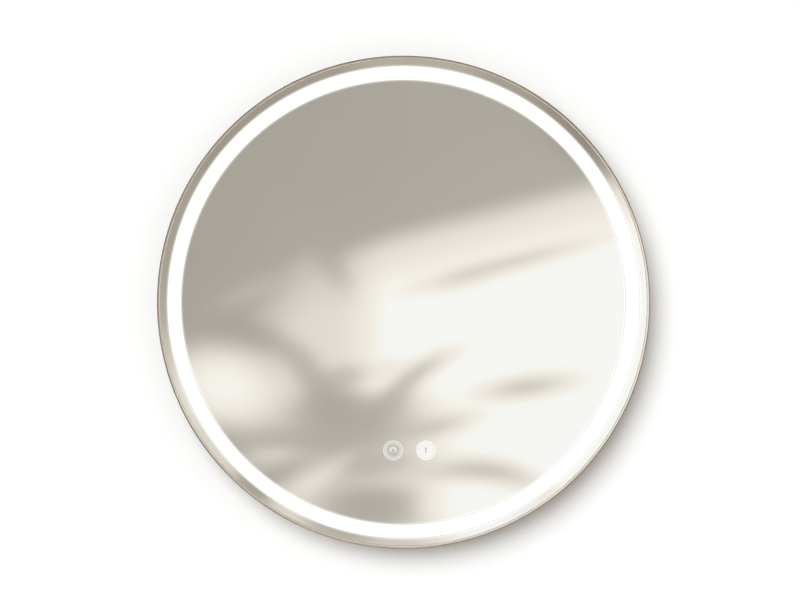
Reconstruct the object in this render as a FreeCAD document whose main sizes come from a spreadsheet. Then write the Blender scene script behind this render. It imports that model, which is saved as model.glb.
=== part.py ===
"""Round lighted wall mirror: a rolled metal hoop holds a glass disc, a ring of light and a steel back.

The mirror faces -Y and the wall is the plane y = 0. The origin is the middle of the wall bracket's
screw line, on the wall. Lengths are millimetres. A depth is a distance out from the wall, so a point
at depth d lies at y = -d. The pieces on the mirror are drawn about the mirror's own centre, which
hangs below the screw line by centre_drop.
"""
import FreeCAD, Part
import math
import os
import Sketcher
from FreeCAD import Placement, Rotation, Vector

DRIVING_SIZES = (
    # the whole mirror
    ("outer_diameter", 600, "across the metal hoop"),
    ("overall_depth", 38, "wall to the front of the lip"),
    ("centre_drop", 150, "screw line down to the mirror's centre"),
    ("seat_clearance", 0.5, "between round pieces that slide into each other"),
    # the rolled hoop
    ("frame_wall", 1.6, "outer wall of the hoop"),
    ("lip_width", 3.5, "front lip, seen as the metal rim"),
    ("lip_thickness", 1.5, "front lip"),
    ("lip_chamfer", 0.6, "broken front edge of the lip"),
    ("rib_width", 4.4, "rib behind the glass, from the wall inwards"),
    ("rib_thickness", 1.2, "rib behind the glass"),
    ("flange_width", 6.4, "rear flange, from the wall inwards"),
    ("flange_thickness", 3, "rear flange, which the panel screws bite"),
    ("frame_wall_gap", 2, "hoop's rear edge to the wall"),
    ("seam_gap", 0.3, "where the rolled hoop's ends meet"),
    # glass
    ("gasket_thickness", 0.5, "between lip and glass"),
    ("gasket_width", 1.5, "between lip and glass"),
    ("glass_thickness", 5, "float glass"),
    ("glass_clearance", 0.4, "glass edge to the hoop's wall"),
    ("glass_chamfer", 0.5, "ground edge of the glass"),
    ("etch_depth", 0.2, "frosted zones, cut into the back of the glass"),
    ("silver_thickness", 0.2, "silver and paint layer"),
    ("silver_margin", 1.5, "silver stops short of the glass edge"),
    ("film_thickness", 0.2, "safety film on the paint"),
    ("film_margin", 1, "film stops short of the diffuser"),
    ("edge_strip", 12, "hoop's outside to the lit band"),
    ("band_width", 18, "lit band"),
    # light behind the band
    ("diffuser_thickness", 2, "opal ring"),
    ("diffuser_lap", 7, "opal ring reaches in past the band"),
    ("channel_wall", 1, "sheet of the light channel"),
    ("channel_lap", 6, "light channel reaches in past the band"),
    ("strip_width", 8, "flexible light strip"),
    ("strip_thickness", 0.3, "flexible light strip"),
    ("tape_thickness", 0.1, "tape behind the strip"),
    ("strip_gap", 8, "between the strip's ends, where its lead comes in"),
    ("led_count", 96, "diodes round the strip"),
    ("led_length", 3.5, "along the strip"),
    ("led_width", 2.8, "across the strip"),
    ("led_height", 0.7, "out of the strip"),
    # steel back
    ("panel_thickness", 1, "steel back"),
    ("panel_recess", 10, "wall to the steel back"),
    ("panel_screw_count", 8, "screws round the back"),
    ("vent_count", 7, "slots in each vent"),
    ("vent_length", 26, "vent slot"),
    ("vent_width", 2.4, "vent slot"),
    ("vent_pitch", 8, "between vent slots"),
    ("vent_spread", 205, "vents from the centre line"),
    ("vent_drop", 20, "vents below the mirror's centre"),
    # fasteners
    ("screw_radius", 1.5, "shank of the small screws"),
    ("screw_head_radius", 2.7, "head of the small screws"),
    ("screw_head_height", 1.8, "head of the small screws"),
    ("screw_clearance", 0.15, "hole beyond the shank"),
    ("screw_length", 5, "shank of the small screws"),
    ("rivet_radius", 2, "shank of the hanger rivets"),
    ("rivet_head_radius", 4, "head of the hanger rivets"),
    ("rivet_head_height", 1, "head of the hanger rivets"),
    # joint plate that closes the hoop
    ("splice_length", 44, "plate along the hoop"),
    ("splice_thickness", 2.5, "plate"),
    ("splice_clearance", 0.3, "plate to the hoop"),
    ("splice_screw_pitch", 11, "grub screws along the plate"),
    ("grub_length", 3.4, "grub screws"),
    # touch marks and what is behind them
    ("mark_radius", 12, "frosted touch marks"),
    ("mark_pitch", 40, "between the marks"),
    ("mark_drop", 180.3, "marks below the mirror's centre"),
    ("mark_shift", 7.3, "pair of marks to the right of the centre line"),
    ("touch_radius", 16, "touch housings"),
    ("touch_depth", 12, "touch housings"),
    ("touch_wall", 1.2, "touch housings"),
    ("board_thickness", 1.6, "printed boards"),
    ("board_clearance", 0.4, "board to its housing"),
    ("guide_radius", 12.4, "light guide, outside"),
    ("guide_wall", 2, "light guide"),
    ("guide_foot", 3, "foot of the light guide on the board"),
    ("spring_radius", 4, "sensing spring, middle of the wire"),
    ("spring_wire", 0.4, "sensing spring wire radius"),
    ("spring_turns", 4, "sensing spring"),
    ("touch_led_size", 1.2, "lights behind the marks"),
    # heated film
    ("demister_width", 300, "heated film"),
    ("demister_height", 290, "heated film"),
    ("demister_rise", 22, "heated film above the mirror's centre"),
    ("demister_thickness", 0.3, "heated film"),
    ("demister_corner", 14, "heated film"),
    # low-voltage supply
    ("driver_length", 150, "case"),
    ("driver_width", 46, "case"),
    ("driver_depth", 16, "case without its lid"),
    ("driver_wall", 1.2, "case and lid"),
    ("driver_corner", 4, "case and lid"),
    ("driver_screw_length", 12, "screws through the posts into the lid"),
    ("driver_shift", 65, "case to the left of the centre line"),
    ("driver_rise", 60, "supply and junction box above the mirror's centre"),
    ("post_radius", 3.6, "screw posts in the cases"),
    ("post_inset", 6, "screw posts from the case's outside"),
    ("board_standoff", 3, "board above the case floor"),
    ("transformer_length", 24, "wound transformer"),
    ("transformer_width", 20, "wound transformer"),
    ("transformer_height", 8, "wound transformer"),
    ("capacitor_radius", 4, "capacitors"),
    ("capacitor_length", 15, "capacitors"),
    ("capacitor_count", 3, "capacitors"),
    ("capacitor_pitch", 10, "between capacitors"),
    # junction box
    ("junction_length", 84, "tray"),
    ("junction_width", 46, "tray"),
    ("junction_depth", 15, "tray"),
    ("junction_wall", 1.6, "tray and cover"),
    ("junction_corner", 4, "tray"),
    ("junction_shift", 112, "tray to the right of the centre line"),
    ("hatch_length", 60, "opening in the steel back"),
    ("hatch_width", 32, "opening in the steel back"),
    ("hatch_corner", 4, "opening in the steel back"),
    ("cover_length", 82, "cover plate"),
    ("cover_width", 44, "cover plate"),
    ("cover_corner", 5, "cover plate"),
    ("block_length", 32, "terminal block"),
    ("block_width", 16, "terminal block"),
    ("block_height", 10, "terminal block"),
    ("block_shift", 11, "terminal block to the right of the tray's middle"),
    ("terminal_pitch", 10, "between the terminals"),
    ("terminal_row", 8, "between the two rows of terminals"),
    ("terminal_radius", 1.8, "terminal screws"),
    ("terminal_length", 6, "terminal screws"),
    ("cable_radius", 4, "supply cable that the grommet takes"),
    ("grommet_shift", 18, "grommet to the left of the tray's middle"),
    ("grommet_neck", 6.3, "grommet radius in the cover's hole"),
    ("grommet_flange", 8.6, "grommet flange radius"),
    ("grommet_lip", 1.5, "grommet flange thickness"),
    # leads between the pieces inside
    ("mains_lead_radius", 3, "sheathed lead"),
    ("led_lead_radius", 1.75, "lead to the strip"),
    ("touch_lead_radius", 1.5, "leads to the touch boards and the heated film"),
    ("lead_clearance", 0.3, "holes and clips round the leads"),
    ("lead_reach", 4, "leads reach this far into a case"),
    ("lead_bend", 12, "leads leave a case straight for this far"),
    ("lead_sag", 5, "slack of the lead between the cases"),
    ("film_lead_shift", 30, "lead of the heated film, left of the supply's middle"),
    ("touch_lead_shift", 30, "left touch lead, right of the supply's middle"),
    ("touch_lead_pitch", 10, "between the touch leads"),
    ("clip_shift", 26, "left touch lead in its clips, left of the centre line"),
    ("upper_clip_drop", 12, "upper lead clip below the mirror's centre"),
    ("lower_clip_drop", 112, "lower lead clip below the mirror's centre"),
    ("clip_length", 8, "lead clips"),
    ("clip_wall", 2, "lead clips"),
    # wall bracket and hanger rail
    ("bracket_sheet", 1.5, "steel of both rails"),
    ("bracket_width", 300, "wall bracket"),
    ("bracket_below", 15, "wall bracket below the screw line"),
    ("ledge_height", 16.5, "ledge above the screw line"),
    ("hook_gap", 3.5, "between the wall and the bracket's lip"),
    ("hook_height", 11.5, "lip above the ledge"),
    ("ear_height", 9, "end stops of the wall bracket"),
    ("ear_gap", 0.5, "end stops to the hanger rail"),
    ("hanger_width", 260, "hanger rail"),
    ("hanger_web", 22, "hanger rail on the steel back"),
    ("tongue_gap", 0.3, "tongue to the bracket's lip"),
    ("tongue_height", 16, "tongue below the hanger's step"),
    ("rivet_pitch", 70, "between the hanger rivets"),
    ("rivet_count", 4, "along the hanger rail"),
    ("wall_screw_spacing", 200, "slots in the wall bracket"),
    ("wall_slot_radius", 2.75, "slots in the wall bracket"),
    ("wall_slot_run", 12, "slots in the wall bracket, between end centres"),
    # feet against the wall
    ("foot_radius", 9, "rubber feet"),
    ("foot_stem", 3, "stem of the rubber feet"),
    ("foot_barb", 4.2, "barb of the rubber feet"),
    ("foot_spread", 150, "rubber feet from the centre line"),
    ("foot_drop", 170, "rubber feet below the mirror's centre"),
)

PLACES = (
    # depths, from the front back to the wall
    ("lip_back", "Sizes.overall_depth - Sizes.lip_thickness"),
    ("glass_front", "lip_back - Sizes.gasket_thickness"),
    ("glass_back", "glass_front - Sizes.glass_thickness"),
    ("silver_back", "glass_back - Sizes.silver_thickness"),
    ("film_back", "silver_back - Sizes.film_thickness"),
    ("rib_back", "silver_back - Sizes.rib_thickness"),
    ("diffuser_back", "silver_back - Sizes.diffuser_thickness"),
    ("panel_back", "Sizes.panel_recess"),
    ("panel_front", "panel_back + Sizes.panel_thickness"),
    ("flange_front", "panel_front + Sizes.flange_thickness"),
    ("channel_floor", "panel_front + Sizes.channel_wall"),
    ("strip_depth", "(channel_floor + diffuser_back) / 2"),
    # radii, from the outside in
    ("outer_r", "Sizes.outer_diameter / 2"),
    ("wall_in_r", "outer_r - Sizes.frame_wall"),
    ("glass_r", "wall_in_r - Sizes.glass_clearance"),
    ("silver_r", "glass_r - Sizes.silver_margin"),
    ("lip_in_r", "outer_r - Sizes.lip_width"),
    ("rib_in_r", "wall_in_r - Sizes.rib_width"),
    ("flange_in_r", "wall_in_r - Sizes.flange_width"),
    ("panel_r", "wall_in_r - Sizes.seat_clearance"),
    ("panel_screw_circle", "wall_in_r - Sizes.flange_width / 2"),
    ("band_out_r", "outer_r - Sizes.edge_strip"),
    ("band_in_r", "band_out_r - Sizes.band_width"),
    ("diffuser_in_r", "band_in_r - Sizes.diffuser_lap"),
    ("diffuser_out_r", "rib_in_r - Sizes.seat_clearance"),
    ("film_r", "diffuser_in_r - Sizes.film_margin"),
    ("channel_in_r", "band_in_r - Sizes.channel_lap"),
    ("channel_out_r", "flange_in_r - Sizes.seat_clearance"),
    ("strip_in_r", "channel_in_r + Sizes.channel_wall + Sizes.tape_thickness"),
    ("strip_out_r", "strip_in_r + Sizes.strip_thickness"),
    # splice plate, inside the hoop between its rib and its flange
    ("splice_out_r", "wall_in_r - Sizes.splice_clearance"),
    ("splice_in_r", "splice_out_r - Sizes.splice_thickness"),
    ("splice_back", "flange_front + Sizes.splice_clearance"),
    ("splice_front", "rib_back - Sizes.splice_clearance"),
    ("splice_turn", "Sizes.splice_length / splice_out_r * 180 / pi"),
    ("grub_turn", "Sizes.splice_screw_pitch / splice_out_r * 180 / pi"),
    # fasteners
    ("screw_hole_r", "Sizes.screw_radius + Sizes.screw_clearance"),
    ("rivet_hole_r", "Sizes.rivet_radius + Sizes.screw_clearance"),
    # touch marks, left and right
    ("mark_left_x", "Sizes.mark_shift - Sizes.mark_pitch / 2"),
    ("mark_right_x", "Sizes.mark_shift + Sizes.mark_pitch / 2"),
    ("mark_z", "-Sizes.mark_drop"),
    ("touch_back", "film_back - Sizes.touch_depth"),
    ("touch_floor", "touch_back + Sizes.touch_wall"),
    ("touch_board_front", "touch_floor + Sizes.board_clearance + Sizes.board_thickness"),
    ("touch_board_r", "Sizes.touch_radius - Sizes.touch_wall - Sizes.board_clearance"),
    ("touch_lead_depth", "touch_board_front + Sizes.touch_lead_radius + Sizes.lead_clearance"),
    # supply
    ("driver_x", "-Sizes.driver_shift"),
    ("driver_z", "Sizes.driver_rise"),
    ("driver_half_length", "Sizes.driver_length / 2"),
    ("driver_half_width", "Sizes.driver_width / 2"),
    ("driver_post_x", "driver_half_length - Sizes.post_inset"),
    ("driver_post_z", "driver_half_width - Sizes.post_inset"),
    ("driver_floor", "panel_front + Sizes.driver_wall"),
    ("driver_rim", "panel_front + Sizes.driver_depth"),
    ("driver_front", "driver_rim + Sizes.driver_wall"),
    ("driver_board_back", "driver_floor + Sizes.board_standoff"),
    ("driver_board_front", "driver_board_back + Sizes.board_thickness"),
    ("driver_right_x", "driver_x + driver_half_length"),
    ("driver_left_x", "driver_x - driver_half_length"),
    ("driver_low_z", "driver_z - driver_half_width"),
    ("transformer_x", "driver_x - driver_half_length / 3"),
    ("capacitor_x", "driver_x + driver_half_length / 3"),
    # junction box
    ("junction_x", "Sizes.junction_shift"),
    ("junction_z", "Sizes.driver_rise"),
    ("junction_half_length", "Sizes.junction_length / 2"),
    ("junction_half_width", "Sizes.junction_width / 2"),
    ("junction_post_x", "junction_half_length - Sizes.post_inset"),
    ("junction_post_z", "junction_half_width - Sizes.post_inset"),
    ("junction_front", "panel_front + Sizes.junction_depth"),
    ("junction_floor", "junction_front - Sizes.junction_wall"),
    ("junction_left_x", "junction_x - junction_half_length"),
    ("cover_back", "panel_back - Sizes.junction_wall"),
    ("block_x", "junction_x + Sizes.block_shift"),
    ("block_back", "junction_floor - Sizes.block_height"),
    ("grommet_x", "junction_x - Sizes.grommet_shift"),
    # leads
    ("mains_lead_depth", "driver_board_front + Sizes.mains_lead_radius"),
    ("clip_front", "panel_front + 2 * Sizes.touch_lead_radius + 2 * Sizes.lead_clearance + Sizes.clip_wall"),
    ("clip_lead_depth", "panel_front + Sizes.touch_lead_radius + Sizes.lead_clearance"),
    ("case_gap_x", "(junction_left_x + driver_right_x) / 2"),
    ("film_lead_x", "driver_x - Sizes.film_lead_shift"),
    ("film_lead_depth", "film_back - Sizes.demister_thickness - Sizes.touch_lead_radius"),
    ("left_lead_x", "driver_x + Sizes.touch_lead_shift"),
    ("right_lead_x", "left_lead_x + Sizes.touch_lead_pitch"),
    ("left_clip_x", "-Sizes.clip_shift"),
    ("right_clip_x", "left_clip_x + Sizes.touch_lead_pitch"),
    ("upper_clip_z", "-Sizes.upper_clip_drop"),
    ("lower_clip_z", "-Sizes.lower_clip_drop"),
    ("touch_entry_z", "mark_z + Sizes.touch_radius"),
    # rails
    ("screw_line_z", "Sizes.centre_drop"),
    ("ledge_z", "screw_line_z + Sizes.ledge_height"),
    ("lip_depth", "Sizes.hook_gap + Sizes.bracket_sheet"),
    ("tongue_front", "Sizes.hook_gap - Sizes.tongue_gap"),
    ("tongue_back", "tongue_front - Sizes.bracket_sheet"),
    ("step_z", "ledge_z + Sizes.tongue_height"),
    ("hanger_top_z", "step_z + Sizes.bracket_sheet + Sizes.hanger_web"),
    ("rivet_z", "step_z + Sizes.bracket_sheet + Sizes.hanger_web / 2"),
    ("hanger_back", "panel_back - Sizes.bracket_sheet"),
)

doc = FreeCAD.newDocument("LightedMirror")
sheet = doc.addObject("Spreadsheet::Sheet", "Sizes")
places = doc.addObject("App::VarSet", "Places")
pieces = []


# --- sizes ------------------------------------------------------------------------------------------

def fill_sheet():
    """Writes each driving size with its name and what it measures."""
    for row, (alias, number, meaning) in enumerate(DRIVING_SIZES, start=1):
        sheet.set(f"A{row}", meaning)
        sheet.set(f"B{row}", str(number))
        sheet.setAlias(f"B{row}", alias)
    doc.recompute()


def fill_places():
    """Works the places of the pieces out of the driving sizes."""
    for name, expression in PLACES:
        places.addProperty("App::PropertyFloat", name, "Places")
        places.setExpression(name, expression)
    doc.recompute()


def number(expression):
    """Value of an expression in millimetres or degrees."""
    return float(sheet.evalExpression(expression))


# --- sketches ---------------------------------------------------------------------------------------

def new_body(name, on_mirror=True):
    """An empty body, in the mirror's frame or in the wall bracket's."""
    body = doc.addObject("PartDesign::Body", name)
    body.Label = name
    body.AllowCompound = True
    if on_mirror:
        body.setExpression("Placement.Base.z", "-Sizes.centre_drop")
    pieces.append(body)
    return body


def new_sketch(body, role, **offset):
    """A sketch on an origin plane of its body, moved by the offsets x, y and z of that plane."""
    sketch = body.newObject("Sketcher::SketchObject", body.Label + "_sketch")
    plane = next(item for item in body.Origin.OriginFeatures if item.Role == role)
    sketch.AttachmentSupport = (plane, [""])
    sketch.MapMode = "FlatFace"
    for direction, expression in offset.items():
        sketch.setExpression(f"AttachmentOffset.Base.{direction}", expression)
    return sketch


def wall_sketch(body, depth):
    """A sketch parallel to the wall: its x is +X, its y is +Z and its normal points into the room."""
    return new_sketch(body, "XZ_Plane", z=depth)


def tie(sketch, kind, *where, to):
    """A driving constraint that follows an expression."""
    index = sketch.addConstraint(Sketcher.Constraint(kind, *where, number(to)))
    sketch.setExpression(f"Constraints[{index}]", to)


def outline(sketch, corners):
    """Closes straight sides through the corners, whose coordinates are expressions."""
    first = sketch.GeometryCount
    count = len(corners)
    points = [Vector(number(x), number(y), 0) for x, y in corners]
    for index in range(count):
        sketch.addGeometry(Part.LineSegment(points[index], points[(index + 1) % count]), False)
    for index in range(count):
        following = first + (index + 1) % count
        sketch.addConstraint(Sketcher.Constraint("Coincident", first + index, 2, following, 1))
    for index, (x, y) in enumerate(corners):
        tie(sketch, "DistanceX", -1, 1, first + index, 1, to=x)
        tie(sketch, "DistanceY", -1, 1, first + index, 1, to=y)


def circle(sketch, x, y, radius):
    """A circle about a centre given by expressions."""
    centre = Vector(number(x), number(y), 0)
    index = sketch.addGeometry(Part.Circle(centre, Vector(0, 0, 1), number(radius)), False)
    tie(sketch, "DistanceX", -1, 1, index, 3, to=x)
    tie(sketch, "DistanceY", -1, 1, index, 3, to=y)
    tie(sketch, "Radius", index, to=radius)


def rectangle(sketch, x, y, half_x, half_y):
    """A square-cornered rectangle about a centre."""
    left, right = f"{x} - ({half_x})", f"{x} + ({half_x})"
    low, high = f"{y} - ({half_y})", f"{y} + ({half_y})"
    outline(sketch, [(left, low), (right, low), (right, high), (left, high)])


def arc_about(sketch, centre, radius, start_angle):
    """A quarter circle, anticlockwise from an angle in degrees."""
    start = math.radians(start_angle)
    whole = Part.Circle(centre, Vector(0, 0, 1), radius)
    return sketch.addGeometry(Part.ArcOfCircle(whole, start, start + math.pi / 2), False)


def rounded_rectangle(sketch, x, y, half_x, half_y, corner):
    """A rectangle about a centre, with round corners."""
    middle = Vector(number(x), number(y), 0)
    radius = number(corner)
    reach_x, reach_y = f"(({half_x}) - ({corner}))", f"(({half_y}) - ({corner}))"
    arcs = []
    for start_angle, side, level in ((0, "+", "+"), (90, "-", "+"), (180, "-", "-"), (270, "+", "-")):
        centre = middle + Vector(number(f"0 {side} {reach_x}"), number(f"0 {level} {reach_y}"), 0)
        arc = arc_about(sketch, centre, radius, start_angle)
        tie(sketch, "DistanceX", -1, 1, arc, 3, to=f"{x} {side} {reach_x}")
        tie(sketch, "DistanceY", -1, 1, arc, 3, to=f"{y} {level} {reach_y}")
        tie(sketch, "Radius", arc, to=corner)
        arcs.append(arc)
    for arc, following in zip(arcs, arcs[1:] + arcs[:1]):
        ends = [sketch.getPoint(arc, 2), sketch.getPoint(following, 1)]
        side = sketch.addGeometry(Part.LineSegment(*ends), False)
        sketch.addConstraint(Sketcher.Constraint("Tangent", arc, 2, side, 1))
        sketch.addConstraint(Sketcher.Constraint("Tangent", side, 2, following, 1))


def slot(sketch, x, y, half_run, radius):
    """A round-ended slot along the sketch's x, half_run from its middle to each end's centre."""
    run, end = number(half_run), number(radius)
    middle = Vector(number(x), number(y), 0)
    right, left = middle + Vector(run, 0, 0), middle - Vector(run, 0, 0)
    up = Vector(0, end, 0)
    axis = Vector(0, 0, 1)
    top = sketch.addGeometry(Part.LineSegment(left + up, right + up), False)
    bottom = sketch.addGeometry(Part.LineSegment(right - up, left - up), False)
    right_end = sketch.addGeometry(
        Part.ArcOfCircle(Part.Circle(right, axis, end), -math.pi / 2, math.pi / 2), False)
    left_end = sketch.addGeometry(
        Part.ArcOfCircle(Part.Circle(left, axis, end), math.pi / 2, 3 * math.pi / 2), False)
    for line, point, arc, arc_point in ((top, 2, right_end, 2), (bottom, 1, right_end, 1),
                                        (bottom, 2, left_end, 2), (top, 1, left_end, 1)):
        sketch.addConstraint(Sketcher.Constraint("Tangent", line, point, arc, arc_point))
    for end_arc, side in ((right_end, "+"), (left_end, "-")):
        tie(sketch, "DistanceX", -1, 1, end_arc, 3, to=f"{x} {side} ({half_run})")
        tie(sketch, "DistanceY", -1, 1, end_arc, 3, to=y)
        tie(sketch, "Radius", end_arc, to=radius)


# --- features ---------------------------------------------------------------------------------------

def pad(body, sketch, length):
    """Adds material from the sketch towards its normal."""
    feature = body.newObject("PartDesign::Pad", body.Label + "_pad")
    feature.Profile = sketch
    feature.setExpression("Length", length)
    return feature


def cut(body, sketch, length):
    """Takes material away from the sketch towards its normal."""
    feature = body.newObject("PartDesign::Pocket", body.Label + "_cut")
    feature.Profile = sketch
    feature.setExpression("Length", length)
    feature.Reversed = True
    return feature


def plate(body, back, front, draw):
    """A layer parallel to the wall, between two depths, whose outline draw() puts in the sketch."""
    sketch = wall_sketch(body, back)
    draw(sketch)
    return pad(body, sketch, f"{front} - ({back})")


def holes(body, back, front, draw):
    """Cuts between two depths, whose outlines draw() puts in the sketch."""
    sketch = wall_sketch(body, back)
    draw(sketch)
    return cut(body, sketch, f"{front} - ({back})")


def turned(body, corners, x="0", z="0"):
    """Turns a section of (radius, depth) corners about a line square to the wall through (x, z)."""
    sketch = new_sketch(body, "XY_Plane", x=x, z=z)
    outline(sketch, [(radius, f"-({depth})") for radius, depth in corners])
    feature = body.newObject("PartDesign::Revolution", body.Label + "_turned")
    feature.Profile = sketch
    feature.ReferenceAxis = (sketch, ["V_Axis"])
    feature.Angle = 360
    return feature


def ring_corners(inner, outer, back, front):
    """Section of a plain ring or, with no inner radius, of a disc."""
    return [(inner, back), (outer, back), (outer, front), (inner, front)]


def round_pattern(body, feature, count):
    """Repeats a feature round the mirror's centre."""
    pattern = body.newObject("PartDesign::PolarPattern", body.Label + "_round")
    pattern.Originals = [feature]
    axis = next(item for item in body.Origin.OriginFeatures if item.Role == "Y_Axis")
    pattern.Axis = (axis, [""])
    pattern.Angle = 360
    pattern.setExpression("Occurrences", count)
    body.Tip = pattern
    return pattern


def pin(body, x, z, head, seat, tip, head_radius, shank_radius):
    """A headed pin square to the wall: the head from head to seat, the shank from seat to tip."""
    corners = [("0", head), (head_radius, head), (head_radius, seat),
               (shank_radius, seat), (shank_radius, tip), ("0", tip)]
    return turned(body, corners, x, z)


def four_corners(x, z, reach_x, reach_z):
    """The centres of four posts about (x, z)."""
    return [(f"{x} {side} {reach_x}", f"{z} {level} {reach_z}") for side in "-+" for level in "-+"]


# --- hoop, glass and light --------------------------------------------------------------------------

def make_frame_hoop():
    body = new_body("frame_hoop")
    turned(body, [
        ("Places.lip_in_r", "Sizes.overall_depth"),
        ("Places.outer_r - Sizes.lip_chamfer", "Sizes.overall_depth"),
        ("Places.outer_r", "Sizes.overall_depth - Sizes.lip_chamfer"),
        ("Places.outer_r", "Sizes.frame_wall_gap"),
        ("Places.wall_in_r", "Sizes.frame_wall_gap"),
        ("Places.wall_in_r", "Places.panel_front"),
        ("Places.flange_in_r", "Places.panel_front"),
        ("Places.flange_in_r", "Places.flange_front"),
        ("Places.wall_in_r", "Places.flange_front"),
        ("Places.wall_in_r", "Places.rib_back"),
        ("Places.rib_in_r", "Places.rib_back"),
        ("Places.rib_in_r", "Places.silver_back"),
        ("Places.wall_in_r", "Places.silver_back"),
        ("Places.wall_in_r", "Places.lip_back"),
        ("Places.lip_in_r", "Places.lip_back"),
    ])
    screw_hole = holes(body, "Places.panel_front", "Places.flange_front",
                       lambda sketch: circle(sketch, "Places.panel_screw_circle * cos(22.5)",
                                             "Places.panel_screw_circle * sin(22.5)", "Places.screw_hole_r"))
    round_pattern(body, screw_hole, "Sizes.panel_screw_count")
    holes(body, "0", "Sizes.overall_depth",
          lambda sketch: rectangle(sketch, "0", "-Places.outer_r", "Sizes.seam_gap / 2",
                                   "2 * Sizes.flange_width"))


def make_splice():
    """The plate inside the hoop's seam and the grub screws that lock it."""
    key = new_body("splice_key")
    sketch = new_sketch(key, "XY_Plane")
    outline(sketch, [(radius, f"-({depth})") for radius, depth in ring_corners(
        "Places.splice_in_r", "Places.splice_out_r", "Places.splice_back", "Places.splice_front")])
    turn = key.newObject("PartDesign::Revolution", "splice_key_turned")
    turn.Profile = sketch
    turn.ReferenceAxis = (sketch, ["V_Axis"])
    turn.setExpression("Angle", "Places.splice_turn")
    turn.Midplane = True
    turn_down(key)
    screws = new_body("splice_screws")
    turn_down(screws)
    for step in (-1.5, -0.5, 0.5, 1.5):
        for body, feature, radius in ((key, "PartDesign::Pocket", "Places.screw_hole_r"),
                                      (screws, "PartDesign::Pad", "Sizes.screw_radius")):
            radial = new_sketch(body, "YZ_Plane", z="Places.splice_out_r - Sizes.grub_length")
            turn_about_centre(radial, f"{step} * Places.grub_turn")
            circle(radial, "-(Places.splice_back + Places.splice_front) / 2", "0", radius)
            made = body.newObject(feature, body.Label + "_hole")
            made.Profile = radial
            made.setExpression("Length", "Sizes.grub_length")
            made.Reversed = body is key


def turn_down(body):
    """Turns a body drawn at +X so that it lies at the bottom of the mirror."""
    body.Placement = Placement(Vector(0, 0, 0), Rotation(Vector(0, 1, 0), 90))
    body.setExpression("Placement.Base.z", "-Sizes.centre_drop")


def turn_about_centre(sketch, angle):
    """Turns a radial sketch on the YZ plane about the mirror's axis, keeping its distance from it."""
    sketch.AttachmentOffset = Placement(Vector(0, 0, 0), Rotation(Vector(1, 0, 0), 1))
    reach = "(Places.splice_out_r - Sizes.grub_length)"
    sketch.setExpression("AttachmentOffset.Base.y", f"{reach} * sin({angle})")
    sketch.setExpression("AttachmentOffset.Base.z", f"{reach} * cos({angle})")
    sketch.setExpression("AttachmentOffset.Rotation.Angle", f"-({angle})")


def make_glass():
    """Gasket, glass with its frosted zones, silver and safety film."""
    gasket = new_body("glass_gasket")
    turned(gasket, ring_corners("Places.glass_r - Sizes.gasket_width", "Places.glass_r",
                                "Places.glass_front", "Places.lip_back"))

    glass = new_body("mirror_glass")
    turned(glass, [
        ("0", "Places.glass_back"),
        ("Places.band_in_r", "Places.glass_back"),
        ("Places.band_in_r", "Places.glass_back + Sizes.etch_depth"),
        ("Places.band_out_r", "Places.glass_back + Sizes.etch_depth"),
        ("Places.band_out_r", "Places.glass_back"),
        ("Places.glass_r - Sizes.glass_chamfer", "Places.glass_back"),
        ("Places.glass_r", "Places.glass_back + Sizes.glass_chamfer"),
        ("Places.glass_r", "Places.glass_front - Sizes.glass_chamfer"),
        ("Places.glass_r - Sizes.glass_chamfer", "Places.glass_front"),
        ("0", "Places.glass_front"),
    ])
    holes(glass, "Places.glass_back", "Places.glass_back + Sizes.etch_depth",
          lambda sketch: draw_marks(sketch, "Sizes.mark_radius"))

    silver = new_body("silver_backing")
    turned(silver, ring_corners("0", "Places.band_in_r", "Places.silver_back", "Places.glass_back"))
    holes(silver, "Places.silver_back", "Places.glass_back",
          lambda sketch: draw_marks(sketch, "Sizes.mark_radius"))
    turned(silver, ring_corners("Places.band_out_r", "Places.silver_r",
                                "Places.silver_back", "Places.glass_back"))

    film = new_body("safety_film")
    turned(film, ring_corners("0", "Places.film_r", "Places.film_back", "Places.silver_back"))
    holes(film, "Places.film_back", "Places.silver_back",
          lambda sketch: draw_marks(sketch, "Sizes.mark_radius + Sizes.seat_clearance"))


def draw_marks(sketch, radius):
    """Both touch marks, as circles."""
    for x in ("Places.mark_left_x", "Places.mark_right_x"):
        circle(sketch, x, "Places.mark_z", radius)


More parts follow.
